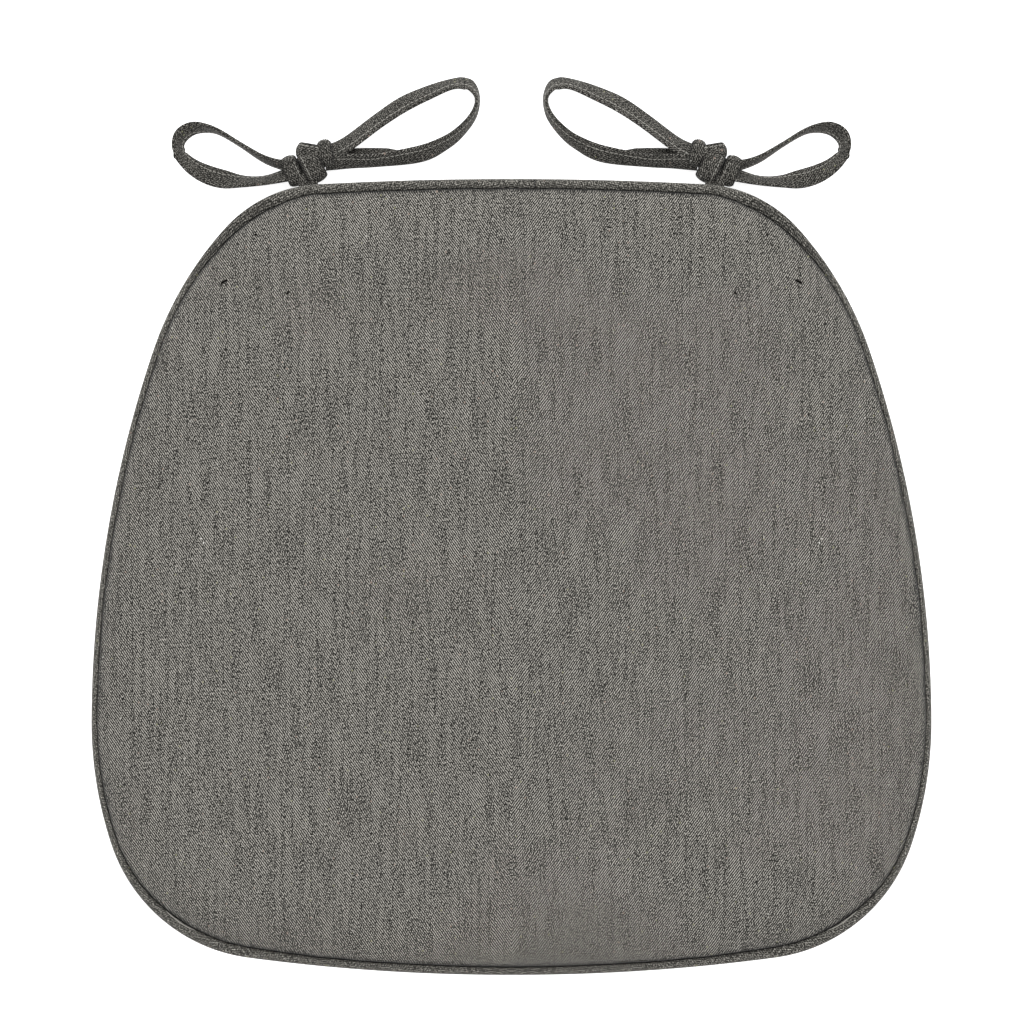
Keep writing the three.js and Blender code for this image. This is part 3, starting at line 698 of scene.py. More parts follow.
def make_leg(place, mirror, materials):
    """The stretch from inside the seam, under the piping, to the knot. It bends where it leaves the seam."""
    joint = next(j for j in frame["joints"] if j["name"] == f"tie_{place}_lift")
    axis = np.array(joint["axis"])
    out = np.array((-axis[1], axis[0], 0.0))
    out = out * np.sign(out[1])
    rows = smooth_route(LEG_LINE, 0.7)
    at = np.array((*TIE_AT, 0.0)) * ((-1, 1, 1) if mirror else (1, 1, 1))
    centres = at + out * rows[:, :1] + np.array((0, 0, 1)) * rows[:, 1:2]
    tangent = unit(np.gradient(centres, axis=0))
    across = np.tile(np.cross(out, (0, 0, 1)), (len(centres), 1))
    normal = unit(np.cross(tangent, across))
    if normal[:, 2].mean() < 0:
        across, normal = -across, -normal
    shape = Shape()
    ribbon(shape, centres, across, normal, LEG_WIDTH, LEG_THICKNESS)
    piece = shape.make(f"tie_{place}_leg_tape", materials)
    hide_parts(f"tie_{place}_leg", f"tie_{place}_seam_end")
    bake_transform(piece)


make_tie("left", -1)
make_tie("right", 1)

# ---- The outline of the pad ----

OUTLINE_COUNT = 4800


class Outline:
    """The pad's outline: points and ways out at shares of its length, clockwise from the back's middle."""

    def __init__(self):
        x, y, heading = 0.0, 0.0, 0.0
        half = [(x, y, heading)]
        for radius, turn in OUTLINE_ARCS:
            step = math.radians(turn) / 60
            for _ in range(60):
                chord = 2 * radius * math.sin(step / 2)
                x += chord * math.cos(heading - step / 2)
                y += chord * math.sin(heading - step / 2)
                heading -= step
                half.append((x, y, heading))
        half = np.array(half)
        half[-1, 0] = 0
        wide = PAD_WIDTH / 2 / half[:, 0].max()
        deep = PAD_DEPTH / -half[-1, 1]
        at = np.column_stack([half[:, 0] * wide, (half[:, 1] - half[-1, 1] / 2) * deep])
        out = unit(np.column_stack([-np.sin(half[:, 2]) / wide, np.cos(half[:, 2]) / deep]))
        at = np.vstack([at, (at * (-1, 1))[-2::-1]])
        out = np.vstack([out, (out * (-1, 1))[-2::-1]])
        length = np.concatenate([[0], np.cumsum(np.linalg.norm(np.diff(at, axis=0), axis=1))])
        even = np.linspace(0, length[-1], OUTLINE_COUNT + 1)
        self.share = even / length[-1]
        self.at = np.column_stack([np.interp(even, length, at[:, i]) for i in (0, 1)])
        self.out = unit(np.column_stack([np.interp(even, length, out[:, i]) for i in (0, 1)]))
        self.length = length[-1]

    def point(self, share):
        share = np.mod(share, 1.0)
        at = np.stack([np.interp(share, self.share, self.at[:, i]) for i in (0, 1)], axis=-1)
        out = np.stack([np.interp(share, self.share, self.out[:, i]) for i in (0, 1)], axis=-1)
        return at, unit(out)

    def inset(self, share, distance):
        at, out = self.point(share)
        return at - out * np.asarray(distance)[..., None]


outline = Outline()


def from_back(share):
    """Share of the half outline from the middle of the back, the same on both sides."""
    share = np.mod(share, 1.0)
    return np.minimum(share, 1 - share) * 2


def piping_shown(share):
    """How far the piping shows before the top panel starts."""
    fine = np.linspace(0, 1, 401)
    rough = np.interp(fine, PIPING_SHOWN_AT, PIPING_SHOWN)
    window = np.hanning(17)
    even = np.convolve(np.pad(rough, 8, mode="reflect"), window / window.sum(), mode="valid")
    back = from_back(share)
    return np.interp(back, fine, even) + SEAM_WANDER * wave_noise(back * outline.length / 2 / 9.0, 21)


def pipe_half_width(share):
    """Half the width of the piping: round, and wider where its cloth bunches up at the corners."""
    return np.maximum(PIPE_RADIUS, (piping_shown(share) + GROOVE + 0.4) / 2)


# ---- The cover ----

# Share of the way from the panel's edge to the rim's inner ring at which each ring lies.
RIM_RINGS = (0.0, 0.014, 0.04, 0.08, 0.14, 0.22, 0.32, 0.44, 0.58, 0.78, 1.0)
GRID_RINGS = 48  # rings of the simulated grid from the middle to the seam
PRESSURE = 4.0
SWELL_SHARE = 0.3  # how much of the simulated movement is kept, as the foam holds the faces flat
MOST_SWELL = 1.2  # how far a point may move
MOST_SINK = 0.25
TIE_ROOM = 2.1  # how far the underside's seam allowance is pressed down by the ends of the ties
SWELL_FRAMES = 20


def pad_grid(rings):
    """A square grid laid on the pad's outline: each point's ring, counted from the middle, and its share."""
    steps = np.arange(-rings, rings + 1)
    i, j = np.meshgrid(steps, steps, indexing="ij")
    k = np.maximum(np.abs(i), np.abs(j))
    walked = np.where(
        j == k, i, np.where(i == k, 2 * k - j, np.where(j == -k, 4 * k - i, 6 * k + j))
    )
    share = np.mod(walked / np.maximum(8 * k, 1), 1.0)
    return k, share


def grid_faces(side, flip):
    index = np.arange(side * side).reshape(side, side)
    a, b, c, d = index[:-1, :-1], index[1:, :-1], index[1:, 1:], index[:-1, 1:]
    quads = np.stack([a, b, c, d], axis=-1).reshape(-1, 4)
    return quads[:, ::-1] if flip else quads


def roll_height(distance):
    """Share of its full height that a panel has reached at a distance in from its edge."""
    cosine = np.clip(1 - distance / ROLL_WIDTH, 0, 1) ** (1 / ROLL_POWER)
    return np.sqrt(np.clip(1 - cosine**2, 0, 1)) ** ROLL_POWER


def cover_points(k, share, rings, side):
    """Points of the top (side 1) or underside (side -1) before it swells, and their place in the flat cloth.
    k counts rings from the middle in steps of the simulated grid. Ring `rings` is the end of the seam
    allowance, and the ring before it is where the panel leaves the piping."""
    rim_count = len(RIM_RINGS)
    last = rings - rim_count  # the innermost ring of the rim
    shown = piping_shown(share) if side > 0 else np.full(np.shape(share), 4.0)
    ring = rings - k  # 0 at the end of the seam allowance, 1 at the edge, rim_count at the rim's inner ring
    t = np.interp(ring, np.arange(1, rim_count + 1), RIM_RINGS)
    distance = (RIM - shown - GROOVE) * t
    half = pipe_half_width(share)
    lean = np.clip((shown + GROOVE - half) / half, -1, 1)
    edge = PIPE_RADIUS * np.sqrt(1 - lean**2) + 0.15
    edge = np.maximum(edge, FLANGE_HALF + 0.4)
    flat = (PAD_HEIGHT - DOME - SEAM_HEIGHT) if side > 0 else SEAM_HEIGHT
    height = edge + (flat - edge) * roll_height(distance)
    inset = shown + GROOVE + distance
    tuck = np.clip(1 - ring, 0, 1)
    inset = inset + (SEAM_ALLOWANCE - inset) * tuck
    height = height + (FLANGE_HALF + 0.4 - height) * tuck ** 0.35
    shrink = np.clip(k / last, 0, 1)
    xy = outline.inset(share, np.minimum(inset, RIM)) * shrink[..., None]
    if side > 0:
        height = height + DOME * (1 - shrink**2)
    fine = np.linspace(0, 1, 200)
    run = np.hypot(np.gradient((RIM - 4) * fine), np.gradient(flat * roll_height((RIM - 4) * fine)))
    walked = np.cumsum(run[::-1])[::-1]
    unrolled = (RIM - np.interp(t, fine, walked)) * STRETCH + inset * (1 - STRETCH)
    cloth = outline.inset(share, np.minimum(unrolled, RIM)) * shrink[..., None]
    points = np.concatenate([xy, (SEAM_HEIGHT + side * height)[..., None]], axis=-1)
    return points, cloth


def swell(top, under):
    """Cloth simulation of the closed cover, held at its seam. Returns how far each point moves."""
    side = top.shape[0]
    k, _ = pad_grid((side - 1) // 2)
    rings = (side - 1) // 2
    count = side * side
    points = np.vstack([top.reshape(-1, 3), under.reshape(-1, 3)])
    seam = np.flatnonzero(k.ravel() == rings)
    points[seam, 2] = points[seam + count, 2] = SEAM_HEIGHT
    under_faces = grid_faces(side, True) + count
    joined = np.where(np.isin(under_faces, seam + count), under_faces - count, under_faces)
    faces = np.vstack([grid_faces(side, False), joined])
    used = np.ones(len(points), bool)
    used[seam + count] = False
    renumber = np.cumsum(used) - 1
    blank = make_object("swelling_cover", points[used], renumber[faces])
    held = np.flatnonzero(np.concatenate([k.ravel() >= rings - 1, k.ravel() >= rings - 1])[used])
    group = blank.vertex_groups.new(name="seam")
    group.add(held.tolist(), 1.0, "REPLACE")
    cloth = blank.modifiers.new("cloth", "CLOTH")
    cloth.settings.quality = 5
    cloth.settings.mass = 0.3
    cloth.settings.tension_stiffness = 20
    cloth.settings.compression_stiffness = 20
    cloth.settings.shear_stiffness = 8
    cloth.settings.bending_stiffness = 1.5
    cloth.settings.shrink_min = -0.01
    cloth.settings.use_pressure = True
    cloth.settings.uniform_pressure_force = PRESSURE
    cloth.settings.vertex_group_mass = "seam"
    cloth.settings.effector_weights.gravity = 0
    cloth.point_cache.frame_start = 1
    cloth.point_cache.frame_end = SWELL_FRAMES
    for frame_number in range(1, SWELL_FRAMES + 1):
        bpy.context.scene.frame_set(frame_number)
    graph = bpy.context.evaluated_depsgraph_get()
    swollen = np.zeros(len(blank.data.vertices) * 3)
    blank.evaluated_get(graph).data.vertices.foreach_get("co", swollen)
    moved = np.zeros_like(points)
    moved[used] = swollen.reshape(-1, 3) / METRES - points[used]
    bpy.data.objects.remove(blank)
    bpy.context.scene.frame_set(1)
    moved *= SWELL_SHARE
    far = np.linalg.norm(moved, axis=1, keepdims=True)
    moved = moved * np.minimum(1, MOST_SWELL / np.maximum(far, 1e-9))
    up, down = moved[:count].reshape(side, side, 3), moved[count:].reshape(side, side, 3)
    up[..., 2] = np.maximum(up[..., 2], -MOST_SINK)
    down[..., 2] = np.minimum(down[..., 2], MOST_SINK)
    return up, down


def refine(values):
    """Values on a grid, with a new row and column between each two, along smooth curves."""
    for axis in (0, 1):
        values = np.moveaxis(values, axis, 0)
        ends = np.concatenate([2 * values[:1] - values[1:2], values, 2 * values[-1:] - values[-2:-1]])
        between = (9 * (ends[1:-2] + ends[2:-1]) - ends[:-3] - ends[3:]) / 16
        fine = np.zeros((2 * len(values) - 1, *values.shape[1:]))
        fine[0::2], fine[1::2] = values, between
        values = np.moveaxis(fine, 0, axis)
    return values


def puckers(share, distance, side):
    """Small gathers that run in from the seam: height at a share of the outline and a distance in."""
    along = share * outline.length
    quick_wave = wave_noise(along / 4.6, 1 + side)
    slow_wave = wave_noise(along / 15.0, 4 + side)
    near = np.exp(-distance / 5.0) * smooth_step(distance, 0.3, 1.6)
    far = np.exp(-distance / 14.0) * smooth_step(distance, 0.3, 4.0)
    return 0.55 * quick_wave * near + 0.5 * slow_wave * far


def cover_surface(side, movement):
    """The finished outer surface of the top or the underside on the fine grid, and its flat coordinates,
    whose third is painted shade.
    """
    k, share = pad_grid(2 * GRID_RINGS)
    points, cloth = cover_points(k / 2, share, GRID_RINGS, side)
    points = points + refine(movement)
    distance = np.maximum(0, (GRID_RINGS - 1 - k / 2))
    rim = np.interp(distance, np.arange(len(RIM_RINGS)), np.array(RIM_RINGS) * (RIM - 4))
    rim = np.where(k / 2 < GRID_RINGS - len(RIM_RINGS), RIM, rim)
    edge_only = k / 2 <= GRID_RINGS - 1
    points[..., 2] += side * puckers(share, rim, side) * edge_only
    slack = np.array([noise.noise(Vector((p[0] / 34, p[1] / 34, side))) for p in points.reshape(-1, 3)])
    slack = slack.reshape(k.shape) * 0.35 * smooth_step(rim, 4, 30)
    if side > 0:
        points[..., 2] += slack
    else:
        points[..., 2] = np.maximum(points[..., 2], 0.0)
        make_room_for_ties(points, k)
    # Painted shade in the third cloth coordinate: strong in the seam beside the piping, and a soft darkening
    # about 9 mm in from the edge.
    shade = 0.85 * np.exp(-rim / 0.45) + 0.15 * np.exp(-rim / 9.0)
    return points, np.concatenate([cloth, np.minimum(shade, 0.92)[..., None]], axis=-1)


def make_room_for_ties(points, k):
    """Presses the underside's seam allowance down where the ties' ends lie on it."""
    near_tie = smooth_step(np.abs(np.abs(points[..., 0]) - abs(TIE_AT[0])), 9.0, 6.0)
    at_seam = (k / 2 >= GRID_RINGS - 1) & (points[..., 1] > 0)
    points[..., 2] -= TIE_ROOM * near_tie * at_seam


def make_cover():
    """The swollen cover's top and underside, each as points and flat coordinates on the fine grid."""
    k, share = pad_grid(GRID_RINGS)
    top, _ = cover_points(k, share, GRID_RINGS, 1)
    under, _ = cover_points(k, share, GRID_RINGS, -1)
    moved = swell(top, under)
    return cover_surface(1, moved[0]), cover_surface(-1, moved[1])


def thicken(target, thickness):
    """Gives a sheet its thickness, inwards."""
    modifier = target.modifiers.new("thickness", "SOLIDIFY")
    modifier.thickness = thickness * METRES
    modifier.offset = -1
    modifier.use_rim = True
    modifier.use_quality_normals = True
    apply_modifiers(target)


def make_top_panel(points, cloth):
    side = points.shape[0]
    panel = make_object(
        "top_cover", points.reshape(-1, 3), grid_faces(side, False), {"cloth": cloth.reshape(-1, 3)}
    )
    panel.data.materials.append(MATERIALS["cover"])
    thicken(panel, CLOTH)
    settle(panel, "pad", "cover_cloth", "top_panel")
    return panel


front_tape_high = box_mm("zip_tape_front")[1]
rear_tape_low = box_mm("zip_tape_rear")[0]
ZIP_Y = (front_tape_high[1] + rear_tape_low[1]) / 2
ZIP_HALF = front_tape_high[0] + 3.0
OPENING_HALF = 4.5
HEM = 10.0
HEM_STITCH = 3.0  # from the lip of the opening to its row of stitches
FOLD = 1.0  # how much of the lip is the hem's own fold


def hem_strip(shape, side):
    """The turned edge beside the zip: it folds up at the lip and lies flat on the inside."""
    lip = ZIP_Y + side * OPENING_HALF
    radius = CLOTH + 0.15
    angles = np.linspace(0, math.pi, 9)
    bend = [(FOLD + 0.15 - radius * math.sin(a), radius - radius * math.cos(a)) for a in angles]
    inner = [(HEM, 2 * radius), (HEM, 2 * radius - CLOTH), (FOLD + 0.15, 2 * radius - CLOTH), (FOLD, CLOTH)]
    section = np.array([(FOLD, 0.0), *bend[1:], *inner])
    xs = np.linspace(-ZIP_HALF, ZIP_HALF, 126)
    points = np.array([[(x, lip + side * a, b) for a, b in section] for x in xs])
    points[..., 2] += 0.05
    ripple = np.array([0.12 * noise.noise(Vector((x / 9, side, 3))) for x in xs])
    points[..., 1] += ripple[:, None] * (section[:, 0] < FOLD)[None, :]
    cloth = points.copy()
    cloth[..., 1] = ZIP_Y + side * (OPENING_HALF + section[:, 0] - section[:, 1])
    cloth[..., 2] = 0
    faces = tube_faces(len(xs), len(section), False)
    if side > 0:
        faces = [f[::-1] for f in faces]
    shape.add(points, faces, cloth)


def make_under_panel(name, side, points, cloth):
    """One part of the underside, cut off at the zip, with the opening cut out; finish_under_panel adds its
    hem and stitching.
    """
    grid = points.shape[0]
    panel = make_object(
        name, points.reshape(-1, 3), grid_faces(grid, True), {"cloth": cloth.reshape(-1, 3)}
    )
    mesh = bmesh.new()
    mesh.from_mesh(panel.data)
    lip = ZIP_Y + side * (OPENING_HALF + FOLD)
    for place, way in (
        ((0, ZIP_Y + side * 0.15, 0), (0, 1, 0)),
        ((0, lip, 0), (0, 1, 0)),
        ((ZIP_HALF, 0, 0), (1, 0, 0)),
        ((-ZIP_HALF, 0, 0), (1, 0, 0)),
    ):
        everything = mesh.verts[:] + mesh.edges[:] + mesh.faces[:]
        point = Vector(place) * METRES
        bmesh.ops.bisect_plane(mesh, geom=everything, plane_co=point, plane_no=way, dist=1e-7)
    gone = []
    for face in mesh.faces:
        x, y, z = face.calc_center_median() / METRES
        past_cut = (y - ZIP_Y - side * 0.15) * side < 0
        in_opening = abs(x) < ZIP_HALF and (y - lip) * side < 0
        if (past_cut or in_opening) and z < SEAM_HEIGHT:
            gone.append(face)
    bmesh.ops.delete(mesh, geom=gone, context="FACES")
    mesh.to_mesh(panel.data)
    mesh.free()
    panel.data.materials.append(MATERIALS["cover"])
    thicken(panel, CLOTH)
    return panel


def join(target, *others):
    """Joins other objects into the first one."""
    chosen = [target, *others]
    with bpy.context.temp_override(
        active_object=target, selected_editable_objects=chosen, selected_objects=chosen
    ):
        bpy.ops.object.join()
    return target


def finish_under_panel(panel, side, node):
    hem = Shape()
    hem_strip(hem, side)
    row = np.linspace(-ZIP_HALF + 2, ZIP_HALF - 2, 200)
    down = np.tile((0.0, 0.0, -1.0), (len(row), 1))
    row_y = ZIP_Y + side * (OPENING_HALF + HEM_STITCH)
    line = np.column_stack([row, np.full(len(row), row_y), np.full(len(row), 0.12)])
    stitch_line(hem, line, down)
    extra = hem.make(panel.name + "_hem", [MATERIALS["cover"], MATERIALS["thread"]])
    join(panel, extra)
    settle(panel, "pad", "cover_cloth", node)


(top_points, top_cloth), (under_points, under_cloth) = make_cover()
top_panel = make_top_panel(top_points, top_cloth)
for place, side in (("front", -1), ("rear", 1)):
    under = make_under_panel(f"under_cover_{place}", side, under_points, under_cloth)
    finish_under_panel(under, side, f"bottom_panel_{place}")

# ---- The piping ----

PIPE_SIDES = 110
PIPE_STEPS = 900


def joint_share():
    """Share of the outline at which the piping's ends meet, on the back edge."""
    near = outline.share < 0.1
    return float(np.interp(PIPING_JOINT_X, outline.at[near, 0], outline.share[near]))


def seam_thread(shape, side):
    """The sewing thread that shows where the seam is drawn open at a front corner."""
    ends = [np.argmin(np.linalg.norm(outline.at - (side * x, y), axis=1)) for x, y in SEAM_OPEN]
    t = np.linspace(0, 1, 40)
    share = np.interp(t, (0, 1), outline.share[ends])
    half = pipe_half_width(share)
    inset = piping_shown(share) - 0.35 - 0.5 * np.sin(math.pi * t)
    height = PIPE_RADIUS * np.sqrt(1 - np.clip((inset - half) / half, -1, 1) ** 2)
    line = np.column_stack([outline.inset(share, inset), SEAM_HEIGHT + height + 0.3])
    out = np.cross(unit(np.gradient(line, axis=0)), (0, 0, 1))
    radius = SEAM_THREAD * np.sqrt(np.clip(1 - (2 * t - 1) ** 4, 0.1, 1))
    rings = [
        line + radius[:, None] * (out * math.cos(turn) + np.array((0, 0, 1)) * math.sin(turn))
        for turn in np.linspace(0, 2 * math.pi, 8, endpoint=False)
    ]
    shape.add(np.stack(rings, axis=1), tube_faces(40, 8, False), slot=1)


def make_piping():
    """The bias strip round its cord, with a flange inside the seam, from one end round to the other."""
    start = joint_share()
    close = np.array([0.0002, 0.0004, 0.0007])  # extra rings beside the joint
    run = np.concatenate([[0], close, np.linspace(0, 1, PIPE_STEPS - 6)[1:-1], 1 - close[::-1], [1]])
    share = start + (JOINT_GAP / 2 + (outline.length - JOINT_GAP) * run) / outline.length
    half = pipe_half_width(share)
    angle = np.linspace(-math.pi + 0.18, math.pi - 0.18, PIPE_SIDES)
    inset = half[:, None] * (1 - np.cos(angle))[None, :]
    height = PIPE_RADIUS * np.sin(angle)[None, :] * np.ones_like(inset)
    top = smooth_step(np.sin(angle), 0.0, 0.5)[None, :]
    along = from_back(share)
    window = smooth_step(along, WRINKLES_FROM, WRINKLES_FROM + 0.02) * (
        1 - smooth_step(along, WRINKLES_TO - 0.03, WRINKLES_TO)
    )
    drift = along * outline.length / 2 * WRINKLE_DRIFT
    ridges = np.abs(np.cos(math.pi * (inset + drift[:, None]) / WRINKLE_PITCH))
    wrinkled = window[:, None] * top
    height = height + wrinkled * WRINKLE_DEPTH * (1.8 * ridges**0.8 - 1.4)
    ways = wave_noise(share * outline.length / 6.5, 9)
    bulge = 1 + 0.025 * ways[:, None] + 0.02 * wave_noise(share * outline.length / 2.4, 12)[:, None]
    height = height * bulge
    ends = np.minimum(run, 1 - run) * outline.length
    height = height * (1 - 0.12 * np.exp(-ends / 0.8))[:, None]
    # Painted shade, kept in the cloth's third coordinate: in the hollows of the wrinkles, in the seam beside
    # the top panel, and in the gap at the piping's joint.
    wrinkle_shade = 0.8 * wrinkled * np.exp(-((ridges / 0.34) ** 2))
    seam_shade = 0.85 * smooth_step(inset - piping_shown(share)[:, None], -0.35, 0.15)
    joint_shade = 0.9 * np.exp(-((ends / 0.6) ** 2))[:, None] * np.ones_like(inset)
    shade = np.pad(np.maximum(np.maximum(wrinkle_shade, seam_shade), joint_shade), ((0, 0), (0, 2)))
    round_length = PIPE_RADIUS * (angle + math.pi)
    flange = np.array([(SEAM_ALLOWANCE + 0.8, FLANGE_HALF), (SEAM_ALLOWANCE + 0.8, -FLANGE_HALF)])
    flange_inset = np.tile(flange[:, 0], (PIPE_STEPS, 1))
    flange_height = np.tile(flange[:, 1], (PIPE_STEPS, 1))
    inset = np.hstack([inset, flange_inset])
    height = np.hstack([height, flange_height])
    shares = np.repeat(share[:, None], inset.shape[1], axis=1)
    xy = outline.inset(shares, inset)
    points = np.concatenate([xy, SEAM_HEIGHT + height[..., None]], axis=-1)
    across = np.concatenate([round_length, [20.0, 22.0]])
    lengthwise = np.minimum(shares % 1.0, 1 - shares % 1.0) * outline.length
    bias_x = lengthwise - across[None, :]
    bias_y = lengthwise + across[None, :]
    cloth = np.stack([bias_x / math.sqrt(2), bias_y / math.sqrt(2), shade], axis=-1)
    shape = Shape()
    faces = [f[::-1] for f in tube_faces(PIPE_STEPS, inset.shape[1], False)]
    shape.add(points, faces, cloth)
    for side in (-1, 1):
        seam_thread(shape, side)
    piece = shape.make("piping_cover", [MATERIALS["piping"], MATERIALS["thread"]])
    settle(piece, "pad", "piping_cloth", "piping_strip")


def make_piping_cord():
    """The filler cord: three plies that wind round each other inside the piping."""
    sides, steps, plies, pitch = 15, 1300, 3, 7.0
    start = joint_share()
    share = start + 0.15 / outline.length + (1 - 0.3 / outline.length) * np.linspace(0, 1, steps)
    angle = np.linspace(0, 2 * math.pi, sides, endpoint=False)[None, :]
    wound = (share * outline.length / pitch * 2 * math.pi)[:, None]
    radius = 1.45 * (1 + 0.12 * np.cos(plies * (angle - wound)))
    inset = PIPE_RADIUS + radius * np.cos(angle)
    xy = outline.inset(np.repeat(share[:, None], sides, axis=1), inset)
    points = np.concatenate([xy, (SEAM_HEIGHT + radius * np.sin(angle))[..., None]], axis=-1)
    shape = Shape()
    shape.add(points, tube_faces(steps, sides, False))
    piece = shape.make("piping_filler_cord", [MATERIALS["cord"]])
    settle(piece, "pad", "filler_cord", "piping_cord")


make_piping()
make_piping_cord()

# ---- The filling ----

FOAM_INSET = SEAM_ALLOWANCE + 1.4
WADDING = 2.0
FILLING_RINGS = 34


def filling_surface(side, lower_by, edge_inset, roll_width, rough):
    """A surface inside the cover: a layer's outer or inner face on a grid."""
    k, share = pad_grid(FILLING_RINGS)
    inset = np.minimum(edge_inset + (FILLING_RINGS - k) * 3.4, RIM)
    shrink = np.clip(k / (FILLING_RINGS - (RIM - edge_inset) / 3.4), 0, 1)
    flat = (PAD_HEIGHT - DOME - SEAM_HEIGHT if side > 0 else SEAM_HEIGHT) - lower_by
    cosine = np.clip(1 - (inset - edge_inset) / roll_width, 0, 1)
    height = np.sqrt(1 - cosine**2) * flat
    if side > 0:
        height = height + DOME * (1 - shrink**2)
    xy = outline.inset(share, inset) * shrink[..., None]
    points = np.concatenate([xy, (SEAM_HEIGHT + side * height)[..., None]], axis=-1)
    lumps = np.array([noise.noise(Vector(p / 11)) for p in points.reshape(-1, 3)]).reshape(k.shape)
    points[..., 2] += rough * lumps * smooth_step(height, 0.5, 4.0)
    return points


def close_sheets(name, outer, inner, side, material):
    """A solid between two grids that share their outline's order."""
    grid = outer.shape[0]
    count = grid * grid
    outer_faces = grid_faces(grid, side < 0)
    inner_faces = grid_faces(grid, side > 0) + count
    index = np.arange(count).reshape(grid, grid)
    border = np.concatenate([index[:-1, 0], index[-1, :-1], index[:0:-1, -1], index[0, :0:-1]])
    after = np.roll(border, -1)
    wall = np.stack([border, border + count, after + count, after], axis=-1)
    wall = wall[:, ::-1] if side > 0 else wall
    points = np.vstack([outer.reshape(-1, 3), inner.reshape(-1, 3)])
    shape = Shape()
    shape.add(points, np.vstack([outer_faces, inner_faces, wall]))
    return shape.make(name, [material])


def cut_box(target, low, high):
    """Takes a box out of a solid."""
    spans = list(zip(low, high))
    corners = np.array([[x, y, z] for x in spans[0] for y in spans[1] for z in spans[2]])
    faces = [(0, 1, 3, 2), (4, 6, 7, 5), (0, 4, 5, 1), (2, 3, 7, 6), (0, 2, 6, 4), (1, 5, 7, 3)]
    cutter = make_object("cutter", corners, faces, smooth=False)
    modifier = target.modifiers.new("cut", "BOOLEAN")
    modifier.operation = "DIFFERENCE"
    modifier.solver = "EXACT"
    modifier.object = cutter
    bpy.context.view_layer.update()
    apply_modifiers(target)
    bpy.data.objects.remove(cutter)


def make_filling():
    """The foam slab, and the wadding above and below it, cut away where the zip lies."""
    layer = CLOTH + WADDING + 0.6
    foam_top = filling_surface(1, layer, FOAM_INSET, 20, 0.25)
    foam_under = filling_surface(-1, layer, FOAM_INSET, 20, 0.25)
    foam = close_sheets("foam_slab", foam_top, foam_under, 1, MATERIALS["foam"])
    slider_low, slider_high = box_mm("zip_slider")
    groove_low = (-ZIP_HALF, slider_low[1] - 0.3, -10)
    groove_high = (ZIP_HALF, slider_high[1] + 0.3, slider_high[2] + 0.3)
    cut_box(foam, groove_low, groove_high)
    settle(foam, "pad", "foam", "foam_core")
    for place, side in (("top", 1), ("under", -1)):
        outer = filling_surface(side, CLOTH + 0.9, 8.5, 28, 0.25)
        inner = filling_surface(side, layer - 0.4, FOAM_INSET - 0.4, 20, 0.1)
        clear = 2.8
        outer[..., 2] = SEAM_HEIGHT + side * np.maximum(side * (outer[..., 2] - SEAM_HEIGHT), clear)
        inner[..., 2] = SEAM_HEIGHT + side * np.maximum(side * (inner[..., 2] - SEAM_HEIGHT), clear - 0.4)
        wad = close_sheets(f"wadding_layer_{place}", outer, inner, side, MATERIALS["wadding"])
        if side < 0:
            reach_x, reach_y = ZIP_HALF + 0.5, OPENING_HALF + HEM + 0.5
            cut_box(wad, (-reach_x, ZIP_Y - reach_y, -10), (reach_x, ZIP_Y + reach_y, SEAM_HEIGHT / 2))
        settle(wad, "pad", "wadding", "wadding_top" if side > 0 else "wadding_bottom")


make_filling()

# ---- The zip ----

COIL_PITCH = 1.15
COIL_WIRE = 0.30


def make_zip_tape(place):
    """A woven tape with a corded edge beside the coil and a faint rib along its other edge."""
    low, high = box_mm(f"zip_tape_{place}")
    inner_side = 1 if place == "front" else -1
    across = np.linspace(0, 1, 25)
    bead = np.exp(-((across / 0.05) ** 2)) * 0.5 + 0.18 * np.cos(across * 40) + 0.35
    half = (high[2] - low[2]) / 2 * np.clip(bead, 0.25, 1.0)
    y = high[1] - across * (high[1] - low[1]) if inner_side > 0 else low[1] + across * (high[1] - low[1])
    section = [(a, h) for a, h in zip(y, half)] + [(a, -h) for a, h in zip(y[::-1], half[::-1])]
    section = np.array(section)
    xs = np.linspace(low[0], high[0], 140)
    middle = (low[2] + high[2]) / 2
    points = np.array([[(x, a, middle + b) for a, b in section] for x in xs])
    shape = Shape()
    faces = tube_faces(len(xs), len(section), False)
    if inner_side > 0:
        faces = [f[::-1] for f in faces]
    shape.add(points, faces)
    row = np.linspace(low[0] + 2, high[0] - 2, 160)
    stitch_y = y[0] - inner_side * 1.9
    for face in (1, -1):
        line = np.column_stack([row, np.full(160, stitch_y), np.full(160, middle + face * 0.12)])
        stitch_line(shape, line, np.tile((0.0, 0.0, float(face)), (160, 1)))
    piece = shape.make(f"zip_tape_{place}_woven", [MATERIALS["zip_tape"], MATERIALS["thread"]])
    settle(piece, "pad", "zip_tape", f"zip_tape_{place}")


